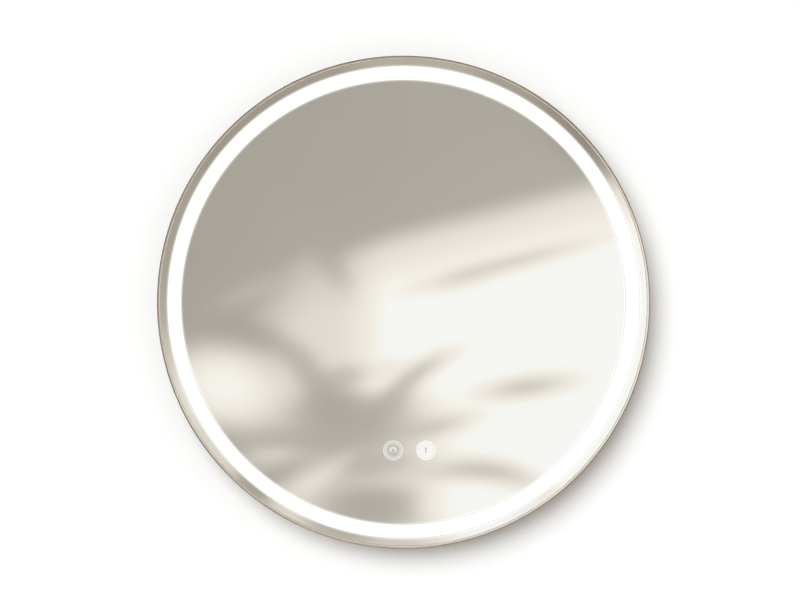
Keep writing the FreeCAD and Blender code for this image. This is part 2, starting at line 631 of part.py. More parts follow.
def make_light():
    """Opal ring, light channel, flexible strip and its diodes."""
    diffuser = new_body("diffuser_ring")
    turned(diffuser, ring_corners("Places.diffuser_in_r", "Places.diffuser_out_r",
                                  "Places.diffuser_back", "Places.silver_back"))

    channel = new_body("light_channel")
    turned(channel, [
        ("Places.channel_in_r", "Places.panel_front"),
        ("Places.channel_out_r", "Places.panel_front"),
        ("Places.channel_out_r", "Places.diffuser_back"),
        ("Places.channel_out_r - Sizes.channel_wall", "Places.diffuser_back"),
        ("Places.channel_out_r - Sizes.channel_wall", "Places.channel_floor"),
        ("Places.channel_in_r + Sizes.channel_wall", "Places.channel_floor"),
        ("Places.channel_in_r + Sizes.channel_wall", "Places.diffuser_back"),
        ("Places.channel_in_r", "Places.diffuser_back"),
    ])
    lead_hole = new_sketch(channel, "YZ_Plane", z="-(Places.strip_in_r + Sizes.channel_wall)")
    circle(lead_hole, "-Places.strip_depth", "0", "Sizes.led_lead_radius + Sizes.lead_clearance")
    cut(channel, lead_hole, "Sizes.strip_gap")

    strip = new_body("led_strip")
    turned(strip, ring_corners("Places.strip_in_r", "Places.strip_out_r",
                               "Places.strip_depth - Sizes.strip_width / 2",
                               "Places.strip_depth + Sizes.strip_width / 2"))
    holes(strip, "Places.strip_depth - Sizes.strip_width", "Places.strip_depth + Sizes.strip_width",
          lambda sketch: rectangle(sketch, "-Places.strip_in_r", "0",
                                   "Sizes.strip_gap", "Sizes.strip_gap / 2"))

    chips = new_body("led_chips")
    sketch = new_sketch(chips, "YZ_Plane", z="Places.strip_out_r")
    rectangle(sketch, "-Places.strip_depth", "0", "Sizes.led_width / 2", "Sizes.led_length / 2")
    first = pad(chips, sketch, "Sizes.led_height")
    round_pattern(chips, first, "Sizes.led_count")
    half_step = Placement(Vector(0, 0, 0), Rotation(Vector(0, 1, 0), 1))
    chips.Placement = half_step
    chips.setExpression("Placement.Base.z", "-Sizes.centre_drop")
    chips.setExpression("Placement.Rotation.Angle", "180 / Sizes.led_count")


# --- steel back and what hangs the mirror -----------------------------------------------------------

def rivet_places():
    """Rivets in a row along the hanger rail."""
    count = int(number("Sizes.rivet_count"))
    middle = (count - 1) / 2
    return [(f"{index - middle} * Sizes.rivet_pitch", "Places.rivet_z") for index in range(count)]


def foot_places():
    """Rubber feet, left and right."""
    return [("-Sizes.foot_spread", "-Sizes.foot_drop"), ("Sizes.foot_spread", "-Sizes.foot_drop")]


def panel_screw_places():
    """Screws round the edge of the steel back."""
    count = int(number("Sizes.panel_screw_count"))
    return [(f"Places.panel_screw_circle * cos({360 / count * (index + 0.5)})",
             f"Places.panel_screw_circle * sin({360 / count * (index + 0.5)})") for index in range(count)]


def driver_posts():
    """Corner posts of the supply's case."""
    return four_corners("Places.driver_x", "Places.driver_z", "Places.driver_post_x", "Places.driver_post_z")


def junction_posts():
    """Corner posts of the junction tray."""
    return four_corners("Places.junction_x", "Places.junction_z",
                        "Places.junction_post_x", "Places.junction_post_z")


def make_back_panel():
    body = new_body("back_panel")
    turned(body, ring_corners("0", "Places.panel_r", "Places.panel_back", "Places.panel_front"))

    def draw_round_holes(sketch):
        for x, z in panel_screw_places() + driver_posts() + junction_posts():
            circle(sketch, x, z, "Places.screw_hole_r")
        for x, z in rivet_places():
            circle(sketch, x, z, "Places.rivet_hole_r")
        for x, z in foot_places():
            circle(sketch, x, z, "Sizes.foot_stem + Sizes.screw_clearance")

    def draw_hatch(sketch):
        rounded_rectangle(sketch, "Places.junction_x", "Places.junction_z",
                          "Sizes.hatch_length / 2", "Sizes.hatch_width / 2", "Sizes.hatch_corner")

    def draw_vents(sketch):
        count = int(number("Sizes.vent_count"))
        for side in ("", "-"):
            for index in range(count):
                z = f"{index - (count - 1) / 2} * Sizes.vent_pitch - Sizes.vent_drop"
                slot(sketch, side + "Sizes.vent_spread", z,
                     "(Sizes.vent_length - Sizes.vent_width) / 2", "Sizes.vent_width / 2")

    for draw in (draw_round_holes, draw_hatch, draw_vents):
        holes(body, "Places.panel_back", "Places.panel_front", draw)


def make_rails():
    """The hanger rail on the mirror and the bracket that is screwed to the wall."""
    hanger = new_body("hanger_bracket")
    rail(hanger, "Sizes.hanger_width", [
        ("Places.tongue_back", "Places.ledge_z"),
        ("Places.tongue_front", "Places.ledge_z"),
        ("Places.tongue_front", "Places.step_z"),
        ("Places.panel_back", "Places.step_z"),
        ("Places.panel_back", "Places.hanger_top_z"),
        ("Places.hanger_back", "Places.hanger_top_z"),
        ("Places.hanger_back", "Places.step_z + Sizes.bracket_sheet"),
        ("Places.tongue_back", "Places.step_z + Sizes.bracket_sheet"),
    ])
    holes(hanger, "Places.hanger_back", "Places.panel_back",
          lambda sketch: [circle(sketch, x, z, "Places.rivet_hole_r") for x, z in rivet_places()])

    bracket = new_body("wall_bracket", on_mirror=False)
    rail(bracket, "Sizes.bracket_width", [
        ("0", "-Sizes.bracket_below"),
        ("Sizes.bracket_sheet", "-Sizes.bracket_below"),
        ("Sizes.bracket_sheet", "Sizes.ledge_height - Sizes.bracket_sheet"),
        ("Places.lip_depth", "Sizes.ledge_height - Sizes.bracket_sheet"),
        ("Places.lip_depth", "Sizes.ledge_height + Sizes.hook_height"),
        ("Sizes.hook_gap", "Sizes.ledge_height + Sizes.hook_height"),
        ("Sizes.hook_gap", "Sizes.ledge_height"),
        ("0", "Sizes.ledge_height"),
    ])
    ear_x = "(Sizes.hanger_width / 2 + Sizes.ear_gap + Sizes.bracket_sheet / 2)"
    for side in ("", "-"):
        plate(bracket, "0", "Sizes.hook_gap",
              lambda sketch: rectangle(sketch, side + ear_x, "Sizes.ledge_height + Sizes.ear_height / 2",
                                       "Sizes.bracket_sheet / 2", "Sizes.ear_height / 2"))
    for side in ("", "-"):
        holes(bracket, "0", "Sizes.bracket_sheet",
              lambda sketch: slot(sketch, side + "Sizes.wall_screw_spacing / 2", "0",
                                  "Sizes.wall_slot_run / 2", "Sizes.wall_slot_radius"))


def rail(body, width, corners):
    """A bent sheet along X from its (depth, height) corners, centred on the middle line."""
    sketch = new_sketch(body, "YZ_Plane")
    outline(sketch, [(f"-({depth})", height) for depth, height in corners])
    feature = pad(body, sketch, width)
    feature.Midplane = True


def make_fasteners():
    """Screws, rivets and feet that show on the steel back."""
    head = "Places.panel_back - Sizes.screw_head_height"
    tip = "Places.panel_back + Sizes.screw_length"
    screws = new_body("panel_screws")
    for x, z in panel_screw_places():
        pin(screws, x, z, head, "Places.panel_back", tip, "Sizes.screw_head_radius", "Sizes.screw_radius")

    rivets = new_body("hanger_rivets")
    for x, z in rivet_places():
        pin(rivets, x, z, "Places.hanger_back - Sizes.rivet_head_height", "Places.hanger_back",
            "Places.panel_front + Sizes.rivet_head_height", "Sizes.rivet_head_radius", "Sizes.rivet_radius")

    feet = new_body("wall_feet")
    for x, z in foot_places():
        turned(feet, [
            ("0", "0"),
            ("Sizes.foot_radius - Sizes.foot_stem / 2", "0"),
            ("Sizes.foot_radius", "Sizes.foot_stem / 2"),
            ("Sizes.foot_radius", "Places.panel_back"),
            ("Sizes.foot_stem", "Places.panel_back"),
            ("Sizes.foot_stem", "Places.panel_front"),
            ("Sizes.foot_barb", "Places.panel_front"),
            ("Sizes.foot_stem / 2", "Places.panel_front + Sizes.foot_stem"),
            ("0", "Places.panel_front + Sizes.foot_stem"),
        ], x, z)


# --- touch switches and heated film -----------------------------------------------------------------

def make_touch(side, x):
    """Housing, board, light guide and sensing spring behind one touch mark."""
    z = "Places.mark_z"
    housing = new_body(f"touch_housing_{side}")
    turned(housing, [
        ("0", "Places.touch_back"),
        ("Sizes.touch_radius", "Places.touch_back"),
        ("Sizes.touch_radius", "Places.film_back"),
        ("Sizes.touch_radius - Sizes.touch_wall", "Places.film_back"),
        ("Sizes.touch_radius - Sizes.touch_wall", "Places.touch_floor"),
        ("0", "Places.touch_floor"),
    ], x, z)
    entry = new_sketch(housing, "XY_Plane", z=z)
    circle(entry, x, "-Places.touch_lead_depth", "Sizes.touch_lead_radius + Sizes.lead_clearance")
    cut(housing, entry, "Sizes.touch_radius + Sizes.touch_wall")

    board = new_body(f"touch_board_{side}")
    turned(board, ring_corners("0", "Places.touch_board_r",
                               "Places.touch_board_front - Sizes.board_thickness",
                               "Places.touch_board_front"), x, z)

    guide = new_body(f"touch_light_guide_{side}")
    turned(guide, [
        ("Sizes.guide_radius - Sizes.guide_wall", "Places.touch_board_front + Sizes.touch_led_size"),
        ("Sizes.guide_radius", "Places.touch_board_front + Sizes.touch_led_size"),
        ("Sizes.guide_radius", "Places.touch_board_front"),
        ("Places.touch_board_r", "Places.touch_board_front"),
        ("Places.touch_board_r", "Places.touch_board_front + Sizes.guide_foot"),
        ("Sizes.guide_radius", "Places.touch_board_front + Sizes.guide_foot"),
        ("Sizes.guide_radius", "Places.silver_back"),
        ("Sizes.guide_radius - Sizes.guide_wall", "Places.silver_back"),
    ], x, z)
    entry = new_sketch(guide, "XY_Plane", z=z)
    circle(entry, x, "-Places.touch_lead_depth", "Sizes.touch_lead_radius + 2 * Sizes.lead_clearance")
    cut(guide, entry, "Sizes.touch_radius")

    spring = new_body(f"touch_spring_{side}")
    wire = new_sketch(spring, "XY_Plane", x=x, z=z)
    circle(wire, "Sizes.spring_radius",
           "-(Places.touch_board_front + Sizes.spring_wire)", "Sizes.spring_wire")
    coil = spring.newObject("PartDesign::AdditiveHelix", spring.Label + "_coil")
    coil.Profile = wire
    coil.ReferenceAxis = (wire, ["V_Axis"])
    coil.Mode = "height-turns-angle"
    coil.setExpression("Height", "Places.glass_back - Places.touch_board_front - 2 * Sizes.spring_wire")
    coil.setExpression("Turns", "Sizes.spring_turns")
    coil.Reversed = True


def make_touch_leds():
    """Four small lights on each touch board, under the light guide."""
    body = new_body("touch_leds")
    reach = "(Sizes.guide_radius - Sizes.guide_wall / 2)"
    half = "Sizes.touch_led_size / 2"
    top = "Places.touch_board_front + Sizes.touch_led_size"

    def draw_leds(sketch):
        for x in ("Places.mark_left_x", "Places.mark_right_x"):
            for turn in (45, 135, 225, 315):
                rectangle(sketch, f"{x} + {reach} * cos({turn})", f"Places.mark_z + {reach} * sin({turn})",
                          half, half)

    plate(body, "Places.touch_board_front", top, draw_leds)


def make_demister():
    """Heated film on the safety film, clear of the touch marks."""
    body = new_body("demister_pad")
    plate(body, "Places.film_back - Sizes.demister_thickness", "Places.film_back",
          lambda sketch: rounded_rectangle(sketch, "0", "Sizes.demister_rise", "Sizes.demister_width / 2",
                                           "Sizes.demister_height / 2", "Sizes.demister_corner"))


# --- supply and junction box ------------------------------------------------------------------------

def tray(body, x, z, half_x, half_z, corner, wall, back, front, floor_back, floor_front):
    """A round-cornered tray: a ring of walls between back and front and a floor."""
    def draw_walls(sketch):
        rounded_rectangle(sketch, x, z, half_x, half_z, corner)
        rounded_rectangle(sketch, x, z, f"{half_x} - {wall}", f"{half_z} - {wall}", f"{corner} - {wall}")

    plate(body, back, front, draw_walls)
    plate(body, floor_back, floor_front,
          lambda sketch: rounded_rectangle(sketch, x, z, half_x, half_z, corner))


def make_driver():
    """Low-voltage supply on the steel back."""
    x, z = "Places.driver_x", "Places.driver_z"
    half_x, half_z = "Places.driver_half_length", "Places.driver_half_width"
    base = new_body("driver_base")
    tray(base, x, z, half_x, half_z, "Sizes.driver_corner", "Sizes.driver_wall",
         "Places.panel_front", "Places.driver_rim", "Places.panel_front", "Places.driver_floor")
    plate(base, "Places.panel_front", "Places.driver_board_back",
          lambda sketch: [circle(sketch, px, pz, "Sizes.post_radius") for px, pz in driver_posts()])
    holes(base, "Places.panel_front", "Places.driver_board_back",
          lambda sketch: [circle(sketch, px, pz, "Places.screw_hole_r") for px, pz in driver_posts()])
    end_cut = new_sketch(base, "YZ_Plane", z="Places.driver_right_x - 2 * Sizes.driver_wall")
    circle(end_cut, "-Places.mains_lead_depth", z, "Sizes.mains_lead_radius + Sizes.lead_clearance")
    cut(base, end_cut, "4 * Sizes.driver_wall")
    end_cut = new_sketch(base, "YZ_Plane", z="Places.driver_left_x - 2 * Sizes.driver_wall")
    circle(end_cut, "-Places.mains_lead_depth", z, "Sizes.led_lead_radius + Sizes.lead_clearance")
    cut(base, end_cut, "4 * Sizes.driver_wall")
    side_cut = new_sketch(base, "XY_Plane", z="Places.driver_low_z - 2 * Sizes.driver_wall")
    for lead_x in ("Places.film_lead_x", "Places.left_lead_x", "Places.right_lead_x"):
        circle(side_cut, lead_x, "-Places.mains_lead_depth", "Sizes.touch_lead_radius + Sizes.lead_clearance")
    cut(base, side_cut, "4 * Sizes.driver_wall")

    lid = new_body("driver_lid")
    plate(lid, "Places.driver_rim", "Places.driver_front",
          lambda sketch: rounded_rectangle(sketch, x, z, half_x, half_z, "Sizes.driver_corner"))
    plate(lid, "Places.driver_board_front", "Places.driver_rim",
          lambda sketch: [circle(sketch, px, pz, "Sizes.post_radius") for px, pz in driver_posts()])
    holes(lid, "Places.driver_board_front", "Places.panel_back + Sizes.driver_screw_length + 1",
          lambda sketch: [circle(sketch, px, pz, "Places.screw_hole_r") for px, pz in driver_posts()])

    board = new_body("driver_board")
    inset = "(Sizes.driver_wall + Sizes.board_clearance)"
    plate(board, "Places.driver_board_back", "Places.driver_board_front",
          lambda sketch: rounded_rectangle(sketch, x, z, f"{half_x} - {inset}", f"{half_z} - {inset}",
                                           "Sizes.driver_corner - Sizes.driver_wall"))
    holes(board, "Places.driver_board_back", "Places.driver_board_front",
          lambda sketch: [circle(sketch, px, pz, "Places.screw_hole_r") for px, pz in driver_posts()])

    transformer = new_body("driver_transformer")
    core = "Places.driver_board_front + Sizes.transformer_height"
    plate(transformer, "Places.driver_board_front", core,
          lambda sketch: rectangle(sketch, "Places.transformer_x", z,
                                   "Sizes.transformer_length / 2", "Sizes.transformer_width / 4"))
    plate(transformer, "Places.driver_board_front + Sizes.board_thickness", f"{core} - Sizes.board_thickness",
          lambda sketch: rectangle(sketch, "Places.transformer_x", z,
                                   "Sizes.transformer_length / 3", "Sizes.transformer_width / 2"))

    capacitors = new_body("driver_capacitors")
    sketch = new_sketch(capacitors, "XY_Plane", z=f"{z} - Sizes.capacitor_length / 2")
    count = int(number("Sizes.capacitor_count"))
    for index in range(count):
        circle(sketch, f"Places.capacitor_x + {index - (count - 1) / 2} * Sizes.capacitor_pitch",
               "-(Places.driver_board_front + Sizes.capacitor_radius)", "Sizes.capacitor_radius")
    pad(capacitors, sketch, "Sizes.capacitor_length")

    screws = new_body("driver_screws")
    for px, pz in driver_posts():
        pin(screws, px, pz, "Places.panel_back - Sizes.screw_head_height", "Places.panel_back",
            "Places.panel_back + Sizes.driver_screw_length", "Sizes.screw_head_radius", "Sizes.screw_radius")


def make_junction_box():
    """Tray inside the steel back, cover outside it, terminal block and cable grommet."""
    x, z = "Places.junction_x", "Places.junction_z"
    half_x, half_z = "Places.junction_half_length", "Places.junction_half_width"
    body = new_body("junction_tray")
    tray(body, x, z, half_x, half_z, "Sizes.junction_corner", "Sizes.junction_wall",
         "Places.panel_front", "Places.junction_front", "Places.junction_floor", "Places.junction_front")
    plate(body, "Places.panel_front", "Places.junction_floor",
          lambda sketch: [circle(sketch, px, pz, "Sizes.post_radius") for px, pz in junction_posts()])
    holes(body, "Places.panel_front", "Places.panel_back + Sizes.screw_length",
          lambda sketch: [circle(sketch, px, pz, "Places.screw_hole_r") for px, pz in junction_posts()])
    entry = new_sketch(body, "YZ_Plane", z="Places.junction_left_x - 2 * Sizes.junction_wall")
    circle(entry, "-Places.mains_lead_depth", z, "Sizes.mains_lead_radius + Sizes.lead_clearance")
    cut(body, entry, "4 * Sizes.junction_wall")

    cover = new_body("junction_cover")
    plate(cover, "Places.cover_back", "Places.panel_back",
          lambda sketch: rounded_rectangle(sketch, x, z, "Sizes.cover_length / 2",
                                           "Sizes.cover_width / 2", "Sizes.cover_corner"))
    holes(cover, "Places.cover_back", "Places.panel_back",
          lambda sketch: [circle(sketch, px, pz, "Places.screw_hole_r") for px, pz in junction_posts()])
    holes(cover, "Places.cover_back", "Places.panel_back",
          lambda sketch: circle(sketch, "Places.grommet_x", z, "Sizes.grommet_neck + Sizes.screw_clearance"))

    screws = new_body("junction_screws")
    for px, pz in junction_posts():
        pin(screws, px, pz, "Places.cover_back - Sizes.screw_head_height", "Places.cover_back",
            "Places.cover_back + Sizes.screw_length", "Sizes.screw_head_radius", "Sizes.screw_radius")

    grommet = new_body("cable_grommet")
    turned(grommet, [
        ("Sizes.cable_radius", "Places.cover_back - Sizes.grommet_lip"),
        ("Sizes.grommet_flange", "Places.cover_back - Sizes.grommet_lip"),
        ("Sizes.grommet_flange", "Places.cover_back"),
        ("Sizes.grommet_neck", "Places.cover_back"),
        ("Sizes.grommet_neck", "Places.panel_back"),
        ("Sizes.grommet_flange", "Places.panel_back"),
        ("Sizes.grommet_flange", "Places.panel_back + Sizes.grommet_lip"),
        ("Sizes.cable_radius", "Places.panel_back + Sizes.grommet_lip"),
    ], "Places.grommet_x", z)

    terminals = [(f"Places.block_x + {column} * Sizes.terminal_pitch",
                  f"{z} + {row} * Sizes.terminal_row / 2") for column in (-1, 0, 1) for row in (-1, 1)]
    block = new_body("terminal_block")
    plate(block, "Places.block_back", "Places.junction_floor",
          lambda sketch: rectangle(sketch, "Places.block_x", z,
                                   "Sizes.block_length / 2", "Sizes.block_width / 2"))
    well = "Places.block_back + Sizes.terminal_length + 1"
    holes(block, "Places.block_back", well,
          lambda sketch: [circle(sketch, tx, tz, "Sizes.terminal_radius + Sizes.lead_clearance")
                          for tx, tz in terminals])
    screws = new_body("terminal_screws")
    plate(screws, "Places.block_back + 1", well,
          lambda sketch: [circle(sketch, tx, tz, "Sizes.terminal_radius") for tx, tz in terminals])


# --- leads ------------------------------------------------------------------------------------------

def lead_path(points):
    """Straight runs joined by tangent arcs, each arc as large as its two runs allow."""
    edges = []
    radii = []
    start = points[0]
    for before, corner, after in zip(points, points[1:], points[2:]):
        back, ahead = (before - corner).normalize(), (after - corner).normalize()
        reach = 0.45 * min(before.distanceToPoint(corner), after.distanceToPoint(corner))
        half_turn = (math.pi - back.getAngle(ahead)) / 2
        radii.append(reach / math.tan(half_turn))
        enter, leave = corner + back * reach, corner + ahead * reach
        inward = (back + ahead).normalize()
        centre_distance = radii[-1] / math.cos(half_turn)
        middle = corner + inward * (centre_distance - radii[-1])
        edges.append(Part.LineSegment(start, enter).toShape())
        edges.append(Part.Arc(enter, middle, leave).toShape())
        start = leave
    edges.append(Part.LineSegment(start, points[-1]).toShape())
    return Part.Wire(edges), radii


def make_lead(name, radius, route):
    """A round lead along a route of (x, depth, z) points given as expressions."""
    points = [Vector(number(x), -number(depth), number(z)) for x, depth, z in route]
    path, radii = lead_path(points)
    size = number(radius)
    section = Part.Wire(Part.Circle(points[0], points[1] - points[0], size).toShape())
    tube = path.makePipeShell([section], True, False)
    lead = doc.addObject("Part::Feature", name)
    lead.Label = name
    lead.Shape = tube
    lead.Placement = Placement(Vector(0, 0, -number("Sizes.centre_drop")), Rotation())
    pieces.append(lead)
    expected = math.pi * size ** 2 * path.Length
    print(f"{name}: length {path.Length:.1f}, radii {[round(value, 1) for value in radii]}, "
          f"volume {tube.Volume / expected:.4f} of its section times its length")


def make_leads():
    """Leads inside the mirror, each from one piece to the next."""
    z = "Places.driver_z"
    level = "Places.mains_lead_depth"
    make_lead("mains_lead", "Sizes.mains_lead_radius", [
        ("Places.junction_left_x + Sizes.lead_reach", level, z),
        ("Places.junction_left_x - Sizes.lead_bend", level, z),
        ("Places.case_gap_x + Sizes.lead_bend * 0.7", level, f"{z} - Sizes.lead_sag"),
        ("Places.case_gap_x - Sizes.lead_bend * 0.8", level, f"{z} - Sizes.lead_sag * 0.6"),
        ("Places.driver_right_x + Sizes.lead_bend", level, z),
        ("Places.driver_right_x - Sizes.lead_reach", level, z),
    ])
    make_lead("led_lead", "Sizes.led_lead_radius", [
        ("Places.driver_left_x + Sizes.lead_reach", level, z),
        ("Places.driver_left_x - Sizes.lead_bend", level, z),
        ("Places.driver_left_x - Sizes.lead_bend * 3.3", level, f"{z} * 0.8"),
        ("(Places.driver_left_x - Places.channel_in_r) / 2", "Places.strip_depth - 1", f"{z} * 0.4"),
        ("-(Places.channel_in_r - Sizes.lead_bend * 3)", "Places.strip_depth", f"{z} * 0.13"),
        ("-(Places.channel_in_r - Sizes.lead_bend)", "Places.strip_depth", "0"),
        ("-(Places.strip_out_r + 1)", "Places.strip_depth", "0"),
    ])
    for side in ("left", "right"):
        make_touch_lead(side)
    low = "Places.driver_low_z"
    make_lead("demister_lead", "Sizes.touch_lead_radius", [
        ("Places.film_lead_x", level, f"{low} + Sizes.lead_reach"),
        ("Places.film_lead_x", level, f"{low} - Sizes.lead_bend * 0.7"),
        ("Places.film_lead_x + 3", f"{level} + 3", f"{low} - Sizes.lead_bend * 2"),
        ("Places.film_lead_x + 10", "Places.film_lead_depth - 3", f"{low} - Sizes.lead_bend * 3.7"),
        ("Places.film_lead_x + 14", "Places.film_lead_depth", f"{low} - Sizes.lead_bend * 5.2"),
        ("Places.film_lead_x + 16", "Places.film_lead_depth", f"{low} - Sizes.lead_bend * 6.2"),
    ])


def make_touch_lead(side):
    """One touch lead: out of the supply, through both clips and into its housing."""
    start_x, clip_x, end_x = f"Places.{side}_lead_x", f"Places.{side}_clip_x", f"Places.mark_{side}_x"
    low = "Places.driver_low_z"
    make_lead(f"touch_lead_{side}", "Sizes.touch_lead_radius", [
        (start_x, "Places.mains_lead_depth", f"{low} + Sizes.lead_reach"),
        (start_x, "Places.mains_lead_depth", f"{low} - Sizes.lead_bend * 0.7"),
        (f"({start_x} + {clip_x}) / 2", "Places.clip_lead_depth + 1", f"{low} - Sizes.lead_bend * 2.2"),
        (clip_x, "Places.clip_lead_depth", "Places.upper_clip_z + Sizes.lead_bend"),
        (clip_x, "Places.clip_lead_depth", "Places.lower_clip_z - Sizes.lead_bend * 1.7"),
        (f"({clip_x} + 2 * {end_x}) / 3", "Places.touch_lead_depth - 1",
         "Places.touch_entry_z + Sizes.lead_bend * 1.3"),
        (end_x, "Places.touch_lead_depth", "Places.touch_entry_z + Sizes.lead_reach"),
        (end_x, "Places.touch_lead_depth", "Places.mark_z + Sizes.spring_radius + Sizes.lead_reach"),
    ])


def make_lead_clips():
    """Saddles that hold both touch leads on the steel back."""
    body = new_body("lead_clips")
    half = "((Places.right_clip_x - Places.left_clip_x) / 2 + Sizes.touch_lead_radius + Sizes.clip_wall)"
    middle = "(Places.left_clip_x + Places.right_clip_x) / 2"
    for height in ("Places.upper_clip_z", "Places.lower_clip_z"):
        sketch = new_sketch(body, "XY_Plane", z=f"{height} - Sizes.clip_length / 2")
        outline(sketch, [(f"{middle} - {half}", "-Places.panel_front"),
                         (f"{middle} + {half}", "-Places.panel_front"),
                         (f"{middle} + {half}", "-Places.clip_front"),
                         (f"{middle} - {half}", "-Places.clip_front")])
        for x in ("Places.left_clip_x", "Places.right_clip_x"):
            circle(sketch, x, "-Places.clip_lead_depth",
                   "Sizes.touch_lead_radius + Sizes.lead_clearance / 2")
        pad(body, sketch, "Sizes.clip_length")


# --- build, check and write -------------------------------------------------------------------------

def check_model():
    """Stops if an object failed, a cut missed its solid or a piece has no valid solid."""
    faults = []
    for item in doc.Objects:
        if "Invalid" in item.State or "Error" in item.State:
            faults.append(f"{item.Label}: {item.State}")
        if item.TypeId in ("PartDesign::Pocket", "PartDesign::Groove"):
            if item.Shape.Volume >= item.BaseFeature.Shape.Volume - 1e-6:
                faults.append(f"{item.Label} cuts nothing")
    for piece in pieces:
        if piece.Shape.isNull() or not piece.Shape.isValid() or not piece.Shape.Solids:
            faults.append(f"{piece.Label} has no valid solid")
    if faults:
        raise RuntimeError("; ".join(faults))


def write_parts():
    """Writes one STEP file for each piece."""
    os.makedirs("parts", exist_ok=True)
    for piece in pieces:
        piece.Shape.exportStep(f"parts/{piece.Label}.step")
    solids = sum(len(piece.Shape.Solids) for piece in pieces)
    print(f"{len(pieces)} pieces, {solids} solids")


fill_sheet()
fill_places()
make_frame_hoop()
make_splice()
make_glass()
make_light()
make_back_panel()
make_rails()
make_fasteners()
make_touch("left", "Places.mark_left_x")
make_touch("right", "Places.mark_right_x")
make_touch_leds()
make_demister()
make_driver()
make_junction_box()
make_leads()
make_lead_clips()
doc.recompute()
check_model()
write_parts()
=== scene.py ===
# %% [markdown]
# # A round lighted bathroom mirror
# The object is a 600 mm mirror. A ring of light shines through a frosted band near its rim, a thin
# champagne metal hoop goes round it, and two small round touch marks sit low on the glass. Behind the
# glass are the light, its driver, a demister pad and the rail that hangs on the wall bracket.
# The exact solids come from the frame. This lesson dresses them: it rebuilds the pieces that need finer
# shapes, and gives every piece a finish. The object's sizes are in millimetres until a mesh is made, and
# the sizes of the stage round it are in metres.

# %% Load the frame
import math

import bmesh
import bpy
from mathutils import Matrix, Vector


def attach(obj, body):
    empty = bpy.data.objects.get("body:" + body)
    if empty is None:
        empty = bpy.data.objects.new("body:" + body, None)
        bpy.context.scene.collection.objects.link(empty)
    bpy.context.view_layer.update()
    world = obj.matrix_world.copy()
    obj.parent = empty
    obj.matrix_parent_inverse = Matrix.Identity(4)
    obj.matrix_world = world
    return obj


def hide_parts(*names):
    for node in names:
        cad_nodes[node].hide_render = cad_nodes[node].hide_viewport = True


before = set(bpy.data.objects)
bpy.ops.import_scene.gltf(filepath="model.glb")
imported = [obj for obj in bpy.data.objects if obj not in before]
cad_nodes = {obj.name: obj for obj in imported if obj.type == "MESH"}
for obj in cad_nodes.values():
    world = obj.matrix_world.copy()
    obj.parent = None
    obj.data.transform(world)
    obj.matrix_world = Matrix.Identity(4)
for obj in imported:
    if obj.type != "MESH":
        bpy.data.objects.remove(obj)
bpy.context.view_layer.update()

# %% [markdown]
# ## Units, colours and small helpers
# A maker reads a mirror in millimetres and a colour as the eye sees it, while Blender wants metres and
# linear light. Two tiny helpers make that change, so that every number below can be read as it is.

# %% Millimetres, colours and the mirror's centre
MM = 0.001
CENTRE_Z = -150.0        # height of the mirror's centre in the frame
GLASS_FRONT = -36.0      # the glass's front face, measured out from the wall along -Y


def tint(red, green, blue):
    """A colour as seen on a screen, 0 to 255, as Blender's linear light."""
    def linear(level):
        level /= 255.0
        return level / 12.92 if level <= 0.04045 else ((level + 0.055) / 1.055) ** 2.4
    return (linear(red), linear(green), linear(blue), 1.0)


print("champagne in linear light", [round(level, 3) for level in tint(196, 184, 168)[:3]])

# %% [markdown]
# Shader and geometry trees are both built from nodes, links and a few numbers. One helper adds a node,
# sets its options and fills its sockets, either with a number or with a link from another node. The next
# few stand for nodes that come again and again: a sum, a distance, a mix of two colours, a change of
# range, a noise. The last two make a tree with named sockets, and place it in a finish.

# %% Node helpers
def add_node(tree, kind, inputs=None, **options):
    """Add a node; inputs maps a socket's name or number to a value or to another node's output."""
    made = tree.nodes.new(kind)
    for option, value in options.items():
        setattr(made, option, value)
    for key, value in (inputs or {}).items():
        if isinstance(value, bpy.types.NodeSocket):
            tree.links.new(value, made.inputs[key])
        else:
            made.inputs[key].default_value = value
    return made


def calculate(tree, operation, *values):
    """One Math node; gives back its output socket."""
    return add_node(tree, "ShaderNodeMath", dict(enumerate(values)), operation=operation).outputs[0]


def distance(tree, across, up):
    """How far a place is from the middle, from its two parts."""
    return calculate(tree, "SQRT",
                     calculate(tree, "MULTIPLY_ADD", across, across, calculate(tree, "MULTIPLY", up, up)))


def mix_tones(tree, share, first, second):
    """The first colour where the share is 0, the second where it is 1."""
    return add_node(tree, "ShaderNodeMix", {0: share, 6: first, 7: second}, data_type="RGBA").outputs[2]


def rescale(tree, value, start, end, low, high, curve="LINEAR"):
    """Low where the value is at the start, high where it is at the end, and held beyond both."""
    return add_node(tree, "ShaderNodeMapRange", {0: value, 1: start, 2: end, 3: low, 4: high},
                    interpolation_type=curve).outputs[0]


def noise(tree, place, scale, detail, roughness=0.5):
    """A cloudy mask from 0 to 1."""
    return add_node(tree, "ShaderNodeTexNoise", {"Vector": place, "Scale": scale, "Detail": detail,
                                                 "Roughness": roughness}).outputs["Fac"]


def new_tree(name, inputs, outputs, kind="ShaderNodeTree"):
    """An empty tree with named sockets; gives back the tree, what it is given and what it gives."""
    tree = bpy.data.node_groups.new(name, kind)
    for label, sort, value in inputs:
        socket = tree.interface.new_socket(label, in_out="INPUT", socket_type="NodeSocket" + sort)
        if value is not None:
            socket.default_value = value
    for label, sort in outputs:
        tree.interface.new_socket(label, in_out="OUTPUT", socket_type="NodeSocket" + sort)
    return tree, tree.nodes.new("NodeGroupInput").outputs, tree.nodes.new("NodeGroupOutput").inputs


def use(tree, group, **values):
    """Place an effect in a finish, with its own values; gives back the outputs."""
    values = {key.replace("_", " "): value for key, value in values.items()}
    return add_node(tree, "ShaderNodeGroup", values, node_tree=group).outputs


# %% [markdown]
# Objects and meshes come up just as often: a new object has to be put in the scene, and a shape that was
# drawn face by face ends as a mesh. A closed shape has its doubles merged and its faces turned outwards.

